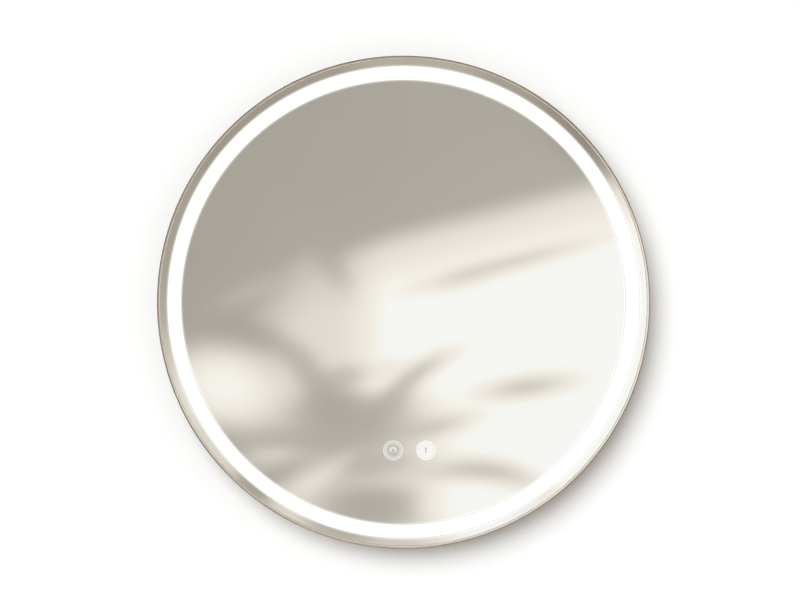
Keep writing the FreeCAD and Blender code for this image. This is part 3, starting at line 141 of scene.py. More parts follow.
# %% Object and mesh helpers
def show(name, data):
    """Put a new object with this data in the scene."""
    thing = bpy.data.objects.new(name, data)
    bpy.context.scene.collection.objects.link(thing)
    return thing


def mesh_of(name, shape):
    mesh = bpy.data.meshes.new(name)
    shape.to_mesh(mesh)
    shape.free()
    return mesh


def closed_mesh(name, shape):
    bmesh.ops.remove_doubles(shape, verts=shape.verts, dist=1e-7)
    bmesh.ops.recalc_face_normals(shape, faces=shape.faces)
    return mesh_of(name, shape)


def bridge(shape, first, second):
    """Faces between two closed loops with as many points; gives back the faces."""
    made = []
    for step in range(len(first)):
        after = (step + 1) % len(first)
        made.append(shape.faces.new((first[step], first[after], second[after], second[step])))
    return made


# %% [markdown]
# ## The camera
# The mirror is seen square on, from far enough away that its rim shows no side. A 111 mm lens three
# metres in front of the glass gives the calm view of a catalogue picture. The mirror sits a few pixels
# to the right of the middle and below it, and the camera is simply moved that much the other way.

# %% Camera
CAMERA_AWAY = 3.0             # metres from the lens to the glass
LENS_PER_METRE = 36.98        # lens length in millimetres for each metre away
SENSOR_WIDE = 36.0
PICTURE_WIDE = 800            # in pixels
PICTURE_PLANE = -36.5         # the depth, just before the glass, that the camera's distance is taken from
MIRROR_RIGHT, MIRROR_LOW = 3.5, 2.2    # pixels from the picture's middle to the mirror's
lens = bpy.data.cameras.new("catalogue_lens")
lens.lens = LENS_PER_METRE * CAMERA_AWAY
lens.sensor_width = SENSOR_WIDE
lens.clip_end = 60.0
pixel = SENSOR_WIDE / lens.lens * CAMERA_AWAY / PICTURE_WIDE    # metres on the mirror
camera = show("catalogue_camera", lens)
camera.location = (-MIRROR_RIGHT * pixel, PICTURE_PLANE * MM - CAMERA_AWAY,
                   CENTRE_Z * MM + MIRROR_LOW * pixel)
camera.rotation_euler = (math.radians(90), 0, 0)
bpy.context.scene.camera = camera
bpy.context.scene.view_settings.view_transform = "Standard"
print("one pixel is", round(pixel * 1000, 3), "mm on the mirror")

# %% [markdown]
# ## Light
# A catalogue wall is nearly white and evenly lit, with one big soft window up on the left. A sun lamp
# with a wide angle is such a window: the light is the same all over the wall, and the shadow on the
# lower right is soft. Two more lamps show the mirror's back in the other views: one lights its dull
# surfaces only, and a weaker and wider one gives its metal a soft gleam that doesn't burn out. Sky and
# window share the work about half and half, so that a colour comes out about as it is written. The
# window is a touch cool and the sky a touch warm: where both reach the wall it is white, and the
# shadow, which only the sky reaches, is warm.

# %% Lamps and sky
WINDOW_TONE = tint(244, 250, 255)
SKY_TONE = tint(255, 248, 239)


def window_light(name, travels, strength, degrees, in_mirrors):
    """A window so far away that its light goes the same way everywhere; degrees is how wide it looks."""
    lamp = bpy.data.lights.new(name, "SUN")
    lamp.energy = strength
    lamp.color = WINDOW_TONE[:3]
    lamp.angle = math.radians(degrees)
    holder = show(name, lamp)
    holder.rotation_euler = Vector(travels).to_track_quat("-Z", "Y").to_euler()
    holder.visible_glossy = in_mirrors


window_light("window_upper_left", (0.375, 1.0, -0.44), 2.20, 45, False)
window_light("window_behind", (0.35, -1.0, -0.45), 1.15, 40, False)
window_light("gleam_behind", (0.35, -1.0, -0.45), 0.5, 60, True)

sky = bpy.data.worlds.new("studio_sky")
bpy.context.scene.world = sky
sky.use_nodes = True
tree = sky.node_tree
tree.nodes.clear()
seen = add_node(tree, "ShaderNodeLightPath").outputs
shiny = calculate(tree, "MAXIMUM", seen["Is Glossy Ray"], seen["Is Transmission Ray"])
first = calculate(tree, "LESS_THAN", seen["Diffuse Depth"], 0.5)
straight = calculate(tree, "MAXIMUM", seen["Is Camera Ray"], calculate(tree, "MULTIPLY", shiny, first))
white = add_node(tree, "ShaderNodeBackground", {"Color": tint(253, 253, 252), "Strength": 1.0})
fill = add_node(tree, "ShaderNodeBackground", {"Color": SKY_TONE, "Strength": 0.515})
both = add_node(tree, "ShaderNodeMixShader", {0: straight, 1: fill.outputs[0], 2: white.outputs[0]})
add_node(tree, "ShaderNodeOutputWorld", {"Surface": both.outputs[0]})

# %% [markdown]
# ## Wall and floor
# The wall stands just behind the mirror. Its far side is see-through, so that the other views can look
# at the mirror's back, and it has a round opening that the mirror hides, through which the light from
# behind reaches the back. The floor lies a good metre below.

# %% Wall and floor
WALL_BEHIND = 0.0008          # metres from the wall bracket's back to the wall
OPENING_RADIUS = 0.284        # hidden by the mirror
STAGE_REACH = 7.0
FLOOR_HEIGHT = -1.75
WALL_STEPS = 96


def stage_piece(name, mesh_maker, material):
    """A piece of the studio, which is no part of the mirror."""
    shape = bmesh.new()
    mesh_maker(shape)
    piece = show(name, mesh_of(name, shape))
    piece.data.materials.append(material)
    return piece


def pale_paint(name, colour, see_through_back):
    """Dull paint with a very slight unevenness."""
    paint = bpy.data.materials.new(name)
    paint.use_nodes = True
    tree = paint.node_tree
    shader = tree.nodes["Principled BSDF"]
    place = add_node(tree, "ShaderNodeTexCoord").outputs["Object"]
    shade = [level * 0.985 for level in colour[:3]] + [1.0]
    uneven = mix_tones(tree, noise(tree, place, 3.0, 3.0), colour, shade)
    tree.links.new(uneven, shader.inputs["Base Color"])
    shader.inputs["Roughness"].default_value = 0.9
    shader.inputs["Specular IOR Level"].default_value = 0.1
    if see_through_back:
        behind = add_node(tree, "ShaderNodeNewGeometry").outputs["Backfacing"]
        clear = add_node(tree, "ShaderNodeBsdfTransparent").outputs[0]
        mixed = add_node(tree, "ShaderNodeMixShader", {0: behind, 1: shader.outputs[0], 2: clear})
        tree.links.new(mixed.outputs[0], tree.nodes["Material Output"].inputs["Surface"])
    return paint


def wall_with_opening(shape):
    """A big sheet in the XZ plane with a round opening; its loops go from a circle to a square."""
    centre = Vector((0, WALL_BEHIND, CENTRE_Z * MM))
    rings = []
    for radius, square in ((OPENING_RADIUS, 0.0), (1.2, 0.5), (STAGE_REACH, 1.0)):
        ring = []
        for step in range(WALL_STEPS):
            turn = math.tau * step / WALL_STEPS
            x, z = math.cos(turn), math.sin(turn)
            reach = radius * ((1 - square) + square / max(abs(x), abs(z)))
            up = max(reach * z, FLOOR_HEIGHT - centre.z)
            ring.append(shape.verts.new(centre + Vector((reach * x, 0, up))))
        rings.append(ring)
    for inner, outer in zip(rings, rings[1:]):
        bridge(shape, inner, outer)
    bmesh.ops.recalc_face_normals(shape, faces=shape.faces)
    if sum(face.normal.y for face in shape.faces) > 0:
        bmesh.ops.reverse_faces(shape, faces=shape.faces)


def floor_sheet(shape):
    for vert in bmesh.ops.create_grid(shape, x_segments=4, y_segments=4, size=STAGE_REACH)["verts"]:
        vert.co.z = FLOOR_HEIGHT


wall = stage_piece("stage_wall", wall_with_opening, pale_paint("pale_wall", tint(254, 254, 254), True))
wall.visible_shadow = False
wall.visible_diffuse = False
floor = stage_piece("stage_floor", floor_sheet, pale_paint("pale_floor", tint(238, 236, 232), False))
floor.visible_diffuse = False
floor.visible_glossy = False
print("wall and floor are", len(wall.data.polygons), "and", len(floor.data.polygons), "faces")

# %% [markdown]
# ## What the mirror sees
# A mirror looks like the room it faces. This one faces a pale wall in window light, grey above and
# bright below, with the soft shade of long leaves lying across it. The room is a big sheet behind the
# camera that only shiny surfaces can see, and all its light and shade is painted into the sheet's own
# glow. Each leaf shade is a soft oval: a point's distance from the oval's middle, measured in its own
# length and width, fades the shade out. One small effect makes such an oval, and the sheet is a short
# list of them, first the painted shades and then the painted patches of sun, then three painted dark
# places that only the rim picks up. The outer strip of the mirror is darker in some stretches and
# brighter in others: slim ovals of painted shade and sun on the sheet, placed where the strip looks, give
# that, and their list holds the place in degrees round the mirror, the half length and the depth.

# %% Effect: one soft oval
soft_oval, given, gives = new_tree(
    "soft_oval",
    [("Place", "Vector", None), ("Middle", "Vector", (0, 0, 0)), ("Turn", "Vector", (0, 0, 0)),
     ("Size", "Vector", (1, 1, 1)), ("Bend", "Float", 0.0), ("Depth", "Float", 1.0),
     ("Edge", "Float", 1.0)],
    [("Amount", "Float")])
own = add_node(soft_oval, "ShaderNodeMapping", {"Vector": given["Place"], "Location": given["Middle"],
               "Rotation": given["Turn"], "Scale": given["Size"]}, vector_type="TEXTURE").outputs[0]
along, across, _ = add_node(soft_oval, "ShaderNodeSeparateXYZ", {0: own}).outputs
square = calculate(soft_oval, "MULTIPLY", along, along)
bowed = calculate(soft_oval, "SUBTRACT", across, calculate(soft_oval, "MULTIPLY", square, given["Bend"]))
spread = calculate(soft_oval, "ADD", square, calculate(soft_oval, "MULTIPLY", bowed, bowed))
firm = calculate(soft_oval, "POWER", spread, given["Edge"])
fade = calculate(soft_oval, "EXPONENT", calculate(soft_oval, "MULTIPLY", firm, -1.0))
soft_oval.links.new(calculate(soft_oval, "MULTIPLY", fade, given["Depth"]), gives["Amount"])
print("soft oval made of", len(soft_oval.nodes), "nodes")

# %% [markdown]
# The sheet's own coordinates are turned back into places on the mirror: a line from the lens to the
# glass goes on after the glass for as far as the sheet is away, so a shade 100 mm long on the mirror is
# 220 mm long on the sheet. The list gives each oval's middle, half length, half width, turn in degrees,
# bow, depth and how firm its edge is, all as they lie on the glass, from the middle of the mirror.

# %% The room the mirror faces
SHEET_AWAY = 3.6              # metres from the glass to the sheet
LEAF_SHADES = [
    (-66, -156, 92, 38, 2, 0.0, 0.88, 1.6), (-183, -40, 63, 19, -21, -0.1, 0.73, 1.3),
    (-114, -88, 44, 20, -50, 0.0, 0.66, 1.3), (-92, -118, 36, 26, 0, 0.0, 0.66, 1.4),
    (-66, -130, 78, 22, 0, 0.0, 0.62, 1.3), (14, -88, 44, 11, 36, -0.3, 0.56, 1.1),
    (150, -103, 48, 12, 8, 0.0, 0.56, 1.1), (40, -151, 42, 12, 14, 0.0, 0.46, 1.1),
    (128, 48, 92, 10, 15, 0.0, 0.42, 1.0), (72, 31, 36, 12, 16, 0.0, 0.20, 1.0),
    (-150, -166, 62, 15, -8, 0.0, 0.50, 1.3), (-34, -198, 70, 20, 4, 0.0, 0.70, 1.3),
    (92, -203, 68, 14, -4, -0.8, 0.66, 1.1), (-36, -250, 74, 36, 0, 0.0, 0.92, 1.6),
    (-158, -212, 54, 15, 26, 0.0, 0.76, 1.2), (-84, 42, 34, 17, -62, 0.0, 0.54, 1.0),
    (-6, -300, 64, 18, 0, 0.0, 0.62, 1.4), (-72, -90, 25, 15, 10, 0.0, 0.50, 1.2),
    (-10, -116, 32, 17, 34, 0.0, 0.56, 1.2), (-26, -84, 50, 13, 6, 0.0, 0.14, 1.2),
]
SUN_PATCHES = [
    (-218, -103, 70, 48, -15, 0.0, 0.96, 1.8), (-96, -210, 40, 12, 36, 0.0, 0.36, 1.2),
    (-168, -186, 32, 9, 8, 0.0, 0.20, 1.0), (66, -247, 48, 24, 2, 0.0, 0.80, 1.6),
    (130, -168, 90, 20, 14, 0.0, 0.5, 1.0), (-206, -208, 48, 14, -45, 0.0, 0.26, 1.2),
    (-172, 18, 58, 14, 22, 0.0, 0.14, 1.1), (-122, 44, 24, 13, 40, 0.0, 0.14, 1.1),
]
DEEP_SHADES = [(283, 283, 96, 120, 135, 0.0, 0.60, 3.0), (-208, 204, 90, 12, 45, 0.0, 0.26, 1.5),
               (110, -610, 540, 240, 10, 0.0, 0.80, 2.0)]
RIM_SHADES = [
    (38, 30, 0.12), (62, 60, 0.18), (113, 64, 0.22), (162, 90, 0.17), (231, 28, 0.34), (254, 46, 0.31),
    (302, 30, 0.07),
]
RIM_SUNS = [(190, 22, 0.16), (214, 52, 0.44)]
STRIP_RADIUS = 291            # millimetres from the mirror's middle to the middle of its outer strip
STRIP_WIDTH = 12              # half width of the ovals along it
SHADE_SLANT, SHADE_HEIGHT, SHADE_BOW = 0.26, 0.093, -1.3    # lower edge of the big shade, in metres


def self_lit(name):
    """A material with an empty tree, for a sheet that shines by itself."""
    made = bpy.data.materials.new(name)
    made.use_nodes = True
    made.node_tree.nodes.clear()
    return made, made.node_tree


def shine(tree, colour):
    """End the tree of a sheet that shines by itself."""
    glow = add_node(tree, "ShaderNodeEmission", {"Color": colour, "Strength": 1.0}).outputs[0]
    add_node(tree, "ShaderNodeOutputMaterial", {"Surface": glow})


room, tree = self_lit("room_in_window_light")
ratio = SHEET_AWAY / CAMERA_AWAY
on_sheet = add_node(tree, "ShaderNodeTexCoord").outputs["Object"]
sideways, _, upward = add_node(tree, "ShaderNodeSeparateXYZ", {0: on_sheet}).outputs
back_x = calculate(tree, "MULTIPLY_ADD", sideways, 1 / (1 + ratio), camera.location.x * ratio / (1 + ratio))
back_z = calculate(tree, "MULTIPLY_ADD", upward, 1 / (1 + ratio),
                   camera.location.z * ratio / (1 + ratio) - CENTRE_Z * MM)
on_glass = add_node(tree, "ShaderNodeCombineXYZ", {0: back_x, 1: back_z}).outputs[0]


def oval(middle_x, middle_z, length, width, turn, bow, depth, firmness):
    """One soft oval on the glass, in millimetres and degrees."""
    return use(tree, soft_oval, Place=on_glass, Middle=(middle_x * MM, middle_z * MM, 0),
               Turn=(0, 0, math.radians(turn)), Size=(length * MM, width * MM, 1), Bend=bow, Depth=depth,
               Edge=firmness)[0]


def on_rim(degrees, length, depth):
    """A slim oval that lies along the outer strip of the mirror, at so many degrees round it."""
    turn = math.radians(degrees)
    bow = length ** 2 / (2 * STRIP_RADIUS) / STRIP_WIDTH
    return (STRIP_RADIUS * math.cos(turn), STRIP_RADIUS * math.sin(turn), length, STRIP_WIDTH, degrees + 90,
            bow, depth, 2.0)


def ramp(value, start, end, low=0.0, high=1.0):
    """A soft change from low to high in the tree of the sheet that is being made."""
    return rescale(tree, value, start, end, low, high, "SMOOTHERSTEP")


leftward = calculate(tree, "MINIMUM", back_x, 0.0)
drop = calculate(tree, "MULTIPLY_ADD", calculate(tree, "MULTIPLY", leftward, leftward), SHADE_BOW,
                 SHADE_HEIGHT)
edge = calculate(tree, "MULTIPLY_ADD", back_x, SHADE_SLANT, drop)
below = calculate(tree, "SUBTRACT", edge, back_z)
rising = calculate(tree, "MULTIPLY", ramp(back_x, -0.24, -0.10), ramp(back_x, -0.10, -0.005, 0.62, 0.96))
slope = calculate(tree, "ADD", ramp(below, -0.014, 0.036, 0.0, 0.64), ramp(below, 0.0, 0.088, 0.0, 0.36))
light = calculate(tree, "MULTIPLY", slope, rising)
light = calculate(tree, "ADD", light, ramp(below, -0.15, 0.03, 0.0, 0.04))
for shade in LEAF_SHADES:
    light = calculate(tree, "MULTIPLY", light, calculate(tree, "SUBTRACT", 1.0, oval(*shade)))
for patch in SUN_PATCHES + [on_rim(*patch) for patch in RIM_SUNS]:
    dark = calculate(tree, "SUBTRACT", 1.0, light)
    light = calculate(tree, "MULTIPLY_ADD", dark, oval(*patch), light)
plaster = calculate(tree, "MULTIPLY_ADD", noise(tree, on_glass, 6.0, 2.0), 0.5, 0.1)
rightward = calculate(tree, "MULTIPLY_ADD", back_x, 0.9, plaster)
shade_tone = mix_tones(tree, rightward, tint(173, 167, 157), tint(187, 182, 172))
beyond = distance(tree, back_x, back_z)
# painted shade: a warmer shade tone on the sheet where the mirror's outer strip looks
shade_tone = mix_tones(tree, ramp(beyond, 0.268, 0.288), shade_tone, tint(187, 178, 166))
sun_tone = mix_tones(tree, ramp(light, 0.92, 1.0), tint(255, 250, 242), tint(255, 255, 252))
room_tone = mix_tones(tree, light, shade_tone, sun_tone)
for shade in DEEP_SHADES + [on_rim(*shade) for shade in RIM_SHADES]:
    room_tone = mix_tones(tree, oval(*shade), room_tone, tint(40, 34, 28))
# painted shade: further out the sheet turns dark, which the hoop's rounded lip picks up
shine(tree, mix_tones(tree, ramp(beyond, 0.32, 0.80, 0.0, 0.45), room_tone, tint(92, 84, 76)))
SHEET_SIDE, SHEET_LOW, SHEET_HIGH = 9.0, -1.7, 6.0    # metres to each side, and its two level edges


def room_sheet(shape):
    corners = [(-SHEET_SIDE, SHEET_LOW), (SHEET_SIDE, SHEET_LOW),
               (SHEET_SIDE, SHEET_HIGH), (-SHEET_SIDE, SHEET_HIGH)]
    depth = GLASS_FRONT * MM - SHEET_AWAY
    shape.faces.new([shape.verts.new((x, depth, z)) for x, z in corners])


sheet = stage_piece("stage_room", room_sheet, room)
print("the room has", len(LEAF_SHADES + DEEP_SHADES + RIM_SHADES), "shades and",
      len(SUN_PATCHES + RIM_SUNS), "patches of sun")

# %% [markdown]
# Photographers stand grey flags round a shiny thing, so that its bright edges get a thin dark line and
# stand out against a white wall. Here the flags are one wide tube round the mirror, between the wall
# and the room sheet. Only shiny surfaces see it. It is darkest close to the wall, where a rounded edge
# looks, and has soft unevenness, so that from the side the mirror doesn't look like blank paper.

# %% Flags round the mirror
TUBE_RADIUS = 3.0             # metres
TUBE_STEPS = 64

flags_tone, tree = self_lit("grey_flags")
on_tube = add_node(tree, "ShaderNodeTexCoord").outputs["Object"]
outward = add_node(tree, "ShaderNodeSeparateXYZ", {0: on_tube}).outputs[1]
away_from_wall = ramp(outward, -2.2, -0.2, 1.0, 0.0)
soft_patches = ramp(noise(tree, on_tube, 0.45, 1.0), 0.35, 0.65, 0.55)
lightness = calculate(tree, "MULTIPLY", away_from_wall, soft_patches)
shine(tree, mix_tones(tree, lightness, tint(74, 64, 56), tint(206, 198, 186)))


def flag_tube(shape):
    turns = [math.tau * step / TUBE_STEPS for step in range(TUBE_STEPS)]
    around = [(TUBE_RADIUS * math.cos(turn), CENTRE_Z * MM + TUBE_RADIUS * math.sin(turn))
              for turn in turns]
    near, far = ([shape.verts.new((x, y, z)) for x, z in around] for y in (-0.06, -3.55))
    bridge(shape, near, far)


flags = stage_piece("stage_flags", flag_tube, flags_tone)
for screen in (sheet, flags):
    for way in ("camera", "diffuse", "transmission", "volume_scatter", "shadow"):
        setattr(screen, "visible_" + way, False)
print("the flags reach from the wall to the room sheet")

# %% [markdown]
# ## Shared effects for the finishes
# Real surfaces are never one flat colour. Painted steel has a faint mottle, rolled metal has streaks one
# way, rubber has a fine tooth. One effect, made of noise, gives such a mask from 0 to 1. Stretching it
# along an axis turns mottle into streaks. Finishes feed it to colour, roughness and relief alike, so
# that all three agree, as they do on a real surface.

# %% Effect: grain
grain, given, gives = new_tree(
    "grain",
    [("Place", "Vector", None), ("Stretch", "Vector", (1, 1, 1)), ("Scale", "Float", 100.0),
     ("Contrast", "Float", 1.0)],
    [("Mask", "Float")])
pulled = add_node(grain, "ShaderNodeVectorMath", {0: given["Place"], 1: given["Stretch"]},
                  operation="MULTIPLY").outputs[0]
fine = noise(grain, pulled, given["Scale"], 4.0, 0.6)
broad = noise(grain, pulled, calculate(grain, "MULTIPLY", given["Scale"], 0.13), 2.0)
blend = calculate(grain, "MULTIPLY_ADD", broad, 0.4, calculate(grain, "MULTIPLY", fine, 0.6))
centred = calculate(grain, "MULTIPLY_ADD", calculate(grain, "SUBTRACT", blend, 0.5), given["Contrast"], 0.5)
grain.links.new(add_node(grain, "ShaderNodeClamp", {0: centred}).outputs[0], gives["Mask"])
print("grain made of", len(grain.nodes), "nodes")

# %% [markdown]
# The hoop is rolled from brushed metal strip, so its streaks run round the mirror. This effect reads a
# point's direction from the mirror's middle and its distance. A slow change along the direction and a
# quick one across it make streaks that follow the ring and meet themselves with no seam. The distance
# is also what the lit band and the glow beside it need, so the effect gives that out too, in millimetres.

# %% Effect: round the mirror
round_mirror, given, gives = new_tree(
    "round_mirror",
    [("Place", "Vector", None), ("Along", "Float", 6.0), ("Across", "Float", 900.0)],
    [("Streaks", "Float"), ("Distance", "Float"), ("Turn", "Float")])
x, y, z = add_node(round_mirror, "ShaderNodeSeparateXYZ", {0: given["Place"]}).outputs
z = calculate(round_mirror, "SUBTRACT", z, CENTRE_Z * MM)
far = distance(round_mirror, x, z)
facing = [calculate(round_mirror, "MULTIPLY", calculate(round_mirror, "DIVIDE", part, far), given["Along"])
          for part in (x, z)]
outward, deep = [calculate(round_mirror, "MULTIPLY", part, given["Across"]) for part in (far, y)]
ringed = add_node(round_mirror, "ShaderNodeCombineXYZ", {0: facing[0], 1: facing[1], 2: outward}).outputs[0]
streaks = add_node(round_mirror, "ShaderNodeTexNoise",
                   {"Vector": ringed, "W": deep, "Scale": 1.0, "Detail": 3.0},
                   noise_dimensions="4D").outputs["Fac"]
round_mirror.links.new(streaks, gives["Streaks"])
round_mirror.links.new(calculate(round_mirror, "MULTIPLY", far, 1000.0), gives["Distance"])
round_mirror.links.new(calculate(round_mirror, "ARCTAN2", z, x), gives["Turn"])
print("round_mirror made of", len(round_mirror.nodes), "nodes")

# %% [markdown]
# Zinc that has cooled on steel freezes into flat crystals, each a slightly different grey. Voronoi cells
# are just such crystals: every cell gets one random tone, and its borders a thin line.

# %% Effect: zinc crystals
zinc_crystals, given, gives = new_tree(
    "zinc_crystals", [("Place", "Vector", None), ("Scale", "Float", 90.0)],
    [("Tone", "Float"), ("Relief", "Float")])
warp = add_node(zinc_crystals, "ShaderNodeTexNoise", {"Vector": given["Place"], "Scale": 60.0}).outputs
bent = add_node(zinc_crystals, "ShaderNodeVectorMath",
                {0: warp["Color"], 1: (0.012, 0.012, 0.012), 2: given["Place"]}, operation="MULTIPLY_ADD")
cells = add_node(zinc_crystals, "ShaderNodeTexVoronoi",
                 {"Vector": bent.outputs[0], "Scale": given["Scale"]}).outputs
tone = add_node(zinc_crystals, "ShaderNodeSeparateColor", {0: cells["Color"]}).outputs[0]
zinc_crystals.links.new(tone, gives["Tone"])
zinc_crystals.links.new(cells["Distance"], gives["Relief"])
print("zinc_crystals made of", len(zinc_crystals.nodes), "nodes")

# %% [markdown]
# ## A plain finish
# Most pieces need the same four things: two close tones, a roughness that wanders between two values,
# a relief of a few hundredths of a millimetre, and a grain to drive them. This maker sets them up and
# hands back the nodes, so that a finish with more to it can go on from there.

# %% Maker of finishes
GRAIN_CONTRAST = 1.6


def plain_finish(name, tone, other, rough, scale, relief=0.02, stretch=(1, 1, 1), glows=0.0, **sockets):
    """A finish with a mottled colour, roughness and relief.

    The two tones are as seen on a screen, and the relief is in millimetres. A finish that glows shines in
    its own colour. Anything else that is given goes to the shader's socket of that name.
    """
    made = bpy.data.materials.new(name)
    made.use_nodes = True
    tree = made.node_tree
    shader = tree.nodes["Principled BSDF"]
    place = add_node(tree, "ShaderNodeTexCoord").outputs["Object"]
    mask = use(tree, grain, Place=place, Stretch=stretch, Scale=scale, Contrast=GRAIN_CONTRAST)["Mask"]
    colour = mix_tones(tree, mask, tint(*tone), tint(*other))
    tree.links.new(colour, shader.inputs["Base Color"])
    tree.links.new(rescale(tree, mask, 0.0, 1.0, *rough), shader.inputs["Roughness"])
    bump = None
    if relief:
        bump = add_node(tree, "ShaderNodeBump", {"Strength": 1.0, "Distance": relief * MM, "Height": mask})
        tree.links.new(bump.outputs[0], shader.inputs["Normal"])
    if glows:
        tree.links.new(colour, shader.inputs["Emission Color"])
        shader.inputs["Emission Strength"].default_value = glows
    for socket, value in sockets.items():
        shader.inputs[socket.replace("_", " ")].default_value = value
    return made, tree, shader, place, colour, bump


black_rubber = plain_finish("moulded_black_rubber", (34, 34, 35), (24, 24, 25), (0.62, 0.8), 2200, 0.03)[0]
print("first finish", black_rubber.name)

# %% [markdown]
# ## The mirror glass
# The mirror is 5 mm float glass, silvered behind. Its silver has been left off, and the glass
# sandblasted, in a ring near the rim and in two small rounds. It could be made of clear glass with a
# silver sheet behind it, but seen from in front the two work as one bright metal surface, and one
# surface also keeps its look in simpler viewers. So the face is polished metal as far as the silver
# goes, set back by 0.2 mm where the frosted ring and the marks are laid in, with a ground edge round it.

# %% Turning a shape about an axis along Y
def turned(shape, outline, centre=(0.0, CENTRE_Z), steps=240, finishes=None, closed=True):
    """Turn (radius, depth) points about the axis; finishes gives each edge's material number.

    Gives back one loop of points for each point of the outline.
    """
    loops = []
    for radius, depth in outline:
        turns = [math.tau * step / steps for step in range(steps if radius else 1)]
        loops.append([shape.verts.new(((centre[0] + radius * math.cos(turn)) * MM, depth * MM,
                                       (centre[1] + radius * math.sin(turn)) * MM)) for turn in turns])
    for number in range(len(loops) if closed else len(loops) - 1):
        first, second = loops[number], loops[(number + 1) % len(loops)]
        for step in range(steps if len(first) + len(second) > 2 else 0):
            after = step + 1
            corners = [first[step % len(first)], first[after % len(first)],
                       second[after % len(second)], second[step % len(second)]]
            face = shape.faces.new(list(dict.fromkeys(corners)))
            face.material_index = finishes[number] if finishes else 0
            face.smooth = True
    return loops


def make_piece(name, shape, finishes, body, instead=(), sharp=35):
    """Make a shape a piece that rides on a body, with its finishes; edges sharper than the angle stay."""
    mesh = closed_mesh(name, shape)
    mesh.set_sharp_from_angle(angle=math.radians(sharp))
    for finish in finishes:
        mesh.materials.append(finish)
    settle(show(name, mesh), body, instead)


def settle(piece, body, instead=()):
    """Let a piece ride on its body and stand for the solids it replaces."""
    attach(piece, body)
    if instead:
        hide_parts(*instead)
    mesh = piece.data
    mesh.calc_loop_triangles()
    print(piece.name, "has", len(mesh.loop_triangles), "triangles")


# %% [markdown]
# The light in the frosted ring also runs a little way through the glass beside it, so the mirror glows
# faintly for about two millimetres on both sides. That glow is a mask on the distance from the
# middle, and it feeds the finish's own light. Finger wiping leaves the silver face a touch less sharp
# in broad patches, which a slow noise gives.

# %% Finish: silvered glass
LAID_IN = GLASS_FRONT + 0.2      # where the ring and the marks lie
BAND_INNER, BAND_OUTER, MARK_RADIUS = 270.0, 288.0, 12.0
BAND_MIDDLE, BAND_HALF = (BAND_INNER + BAND_OUTER) / 2, (BAND_OUTER - BAND_INNER) / 2
GLOW_REACH = 2.2
MARKS = ((-12.7, -330.3), (27.3, -330.3))
BLACK = (0, 0, 0, 1)


def off_band(tree, from_middle):
    """How far a place is from the frosted ring's middle line, in millimetres."""
    return calculate(tree, "ABSOLUTE", calculate(tree, "SUBTRACT", from_middle, BAND_MIDDLE))


silvered, tree, shader, place, *_ = plain_finish(
    "silvered_glass", (247, 247, 245), (245, 246, 244), (0.012, 0.03), 5, 0.0, Metallic=1.0,
    Emission_Strength=1.0)
past_band = calculate(tree, "SUBTRACT",
                      off_band(tree, use(tree, round_mirror, Place=place)["Distance"]), BAND_HALF)
glow = rescale(tree, past_band, 0.0, GLOW_REACH, 1.0, 0.0, "SMOOTHERSTEP")
tree.links.new(mix_tones(tree, glow, BLACK, tint(118, 116, 112)), shader.inputs["Emission Color"])
ground_edge = plain_finish("ground_glass_edge", (214, 226, 220), (196, 212, 205), (0.3, 0.5), 1800, 0.01)[0]
recess = plain_finish("recess_floor", (236, 236, 232), (228, 229, 225), (0.5, 0.6), 900, 0.01)[0]
print("silvered glass glows", GLOW_REACH, "mm beside the ring")

# %% Piece: mirror face
GLASS_RADIUS, GLASS_BACK, GROUND = 298.0, -31.0, 0.5
SILVER, EDGE, RECESS = range(3)
BAND_STEPS, MARK_STEPS = 360, 48
GLASS = [(BAND_INNER, GLASS_FRONT), (BAND_INNER, LAID_IN), (BAND_OUTER, LAID_IN), (BAND_OUTER, GLASS_FRONT),
         (GLASS_RADIUS - GROUND, GLASS_FRONT), (GLASS_RADIUS, GLASS_FRONT + GROUND),
         (GLASS_RADIUS, GLASS_BACK - GROUND), (GLASS_RADIUS - GROUND, GLASS_BACK), (0, GLASS_BACK)]
HOLE = [(MARK_RADIUS, GLASS_FRONT), (MARK_RADIUS, LAID_IN), (0, LAID_IN)]

shape = bmesh.new()
rims = [turned(shape, GLASS, steps=BAND_STEPS, closed=False,
               finishes=[RECESS, RECESS, RECESS, SILVER, EDGE, EDGE, EDGE, SILVER])[0]]
for mark in MARKS:
    rims.append(turned(shape, HOLE, mark, MARK_STEPS, [RECESS, RECESS], closed=False)[0])
edges = [shape.edges.get((rim[step], rim[(step + 1) % len(rim)]))
         for rim in rims for step in range(len(rim))]
bmesh.ops.triangle_fill(shape, use_beauty=True, edges=edges)
make_piece("mirror_face", shape, [silvered, ground_edge, recess], "mirror",
           ["mirror_glass"])

# %% [markdown]
# ## The frosted ring of light
# From in front the ring is simply white, brighter than anything round it, with edges that are a little
# soft because blasted glass spreads the light. Behind it 96 small lights shine through an opal ring,
# so a very slight unevenness is left, and the light is a trace warmer at its edges. The ring is laid
# flush into the face; a thin clear coat stands for the smooth glass over it.

# %% Finish and piece: frosted ring
LAMPS = 96
SOFT_EDGE = 1.6
frosted, tree, shader, place, *_ = plain_finish(
    "frosted_light", (170, 170, 168), (162, 163, 161), (0.35, 0.5), 2600, 0.01, Coat_Weight=1.0,
    Coat_Roughness=0.02, Emission_Strength=0.75)
round_about = use(tree, round_mirror, Place=place)
lamps = calculate(tree, "COSINE", calculate(tree, "MULTIPLY", round_about["Turn"], LAMPS))
inside = calculate(tree, "SUBTRACT", BAND_HALF, off_band(tree, round_about["Distance"]))
soft = rescale(tree, inside, 0.0, SOFT_EDGE, 0.0, 1.0, "SMOOTHSTEP")
bright = calculate(tree, "MULTIPLY_ADD", lamps, 0.012, 0.985)
lit = mix_tones(tree, soft, tint(150, 147, 140), tint(255, 254, 251))
tree.links.new(mix_tones(tree, bright, BLACK, lit), shader.inputs["Emission Color"])

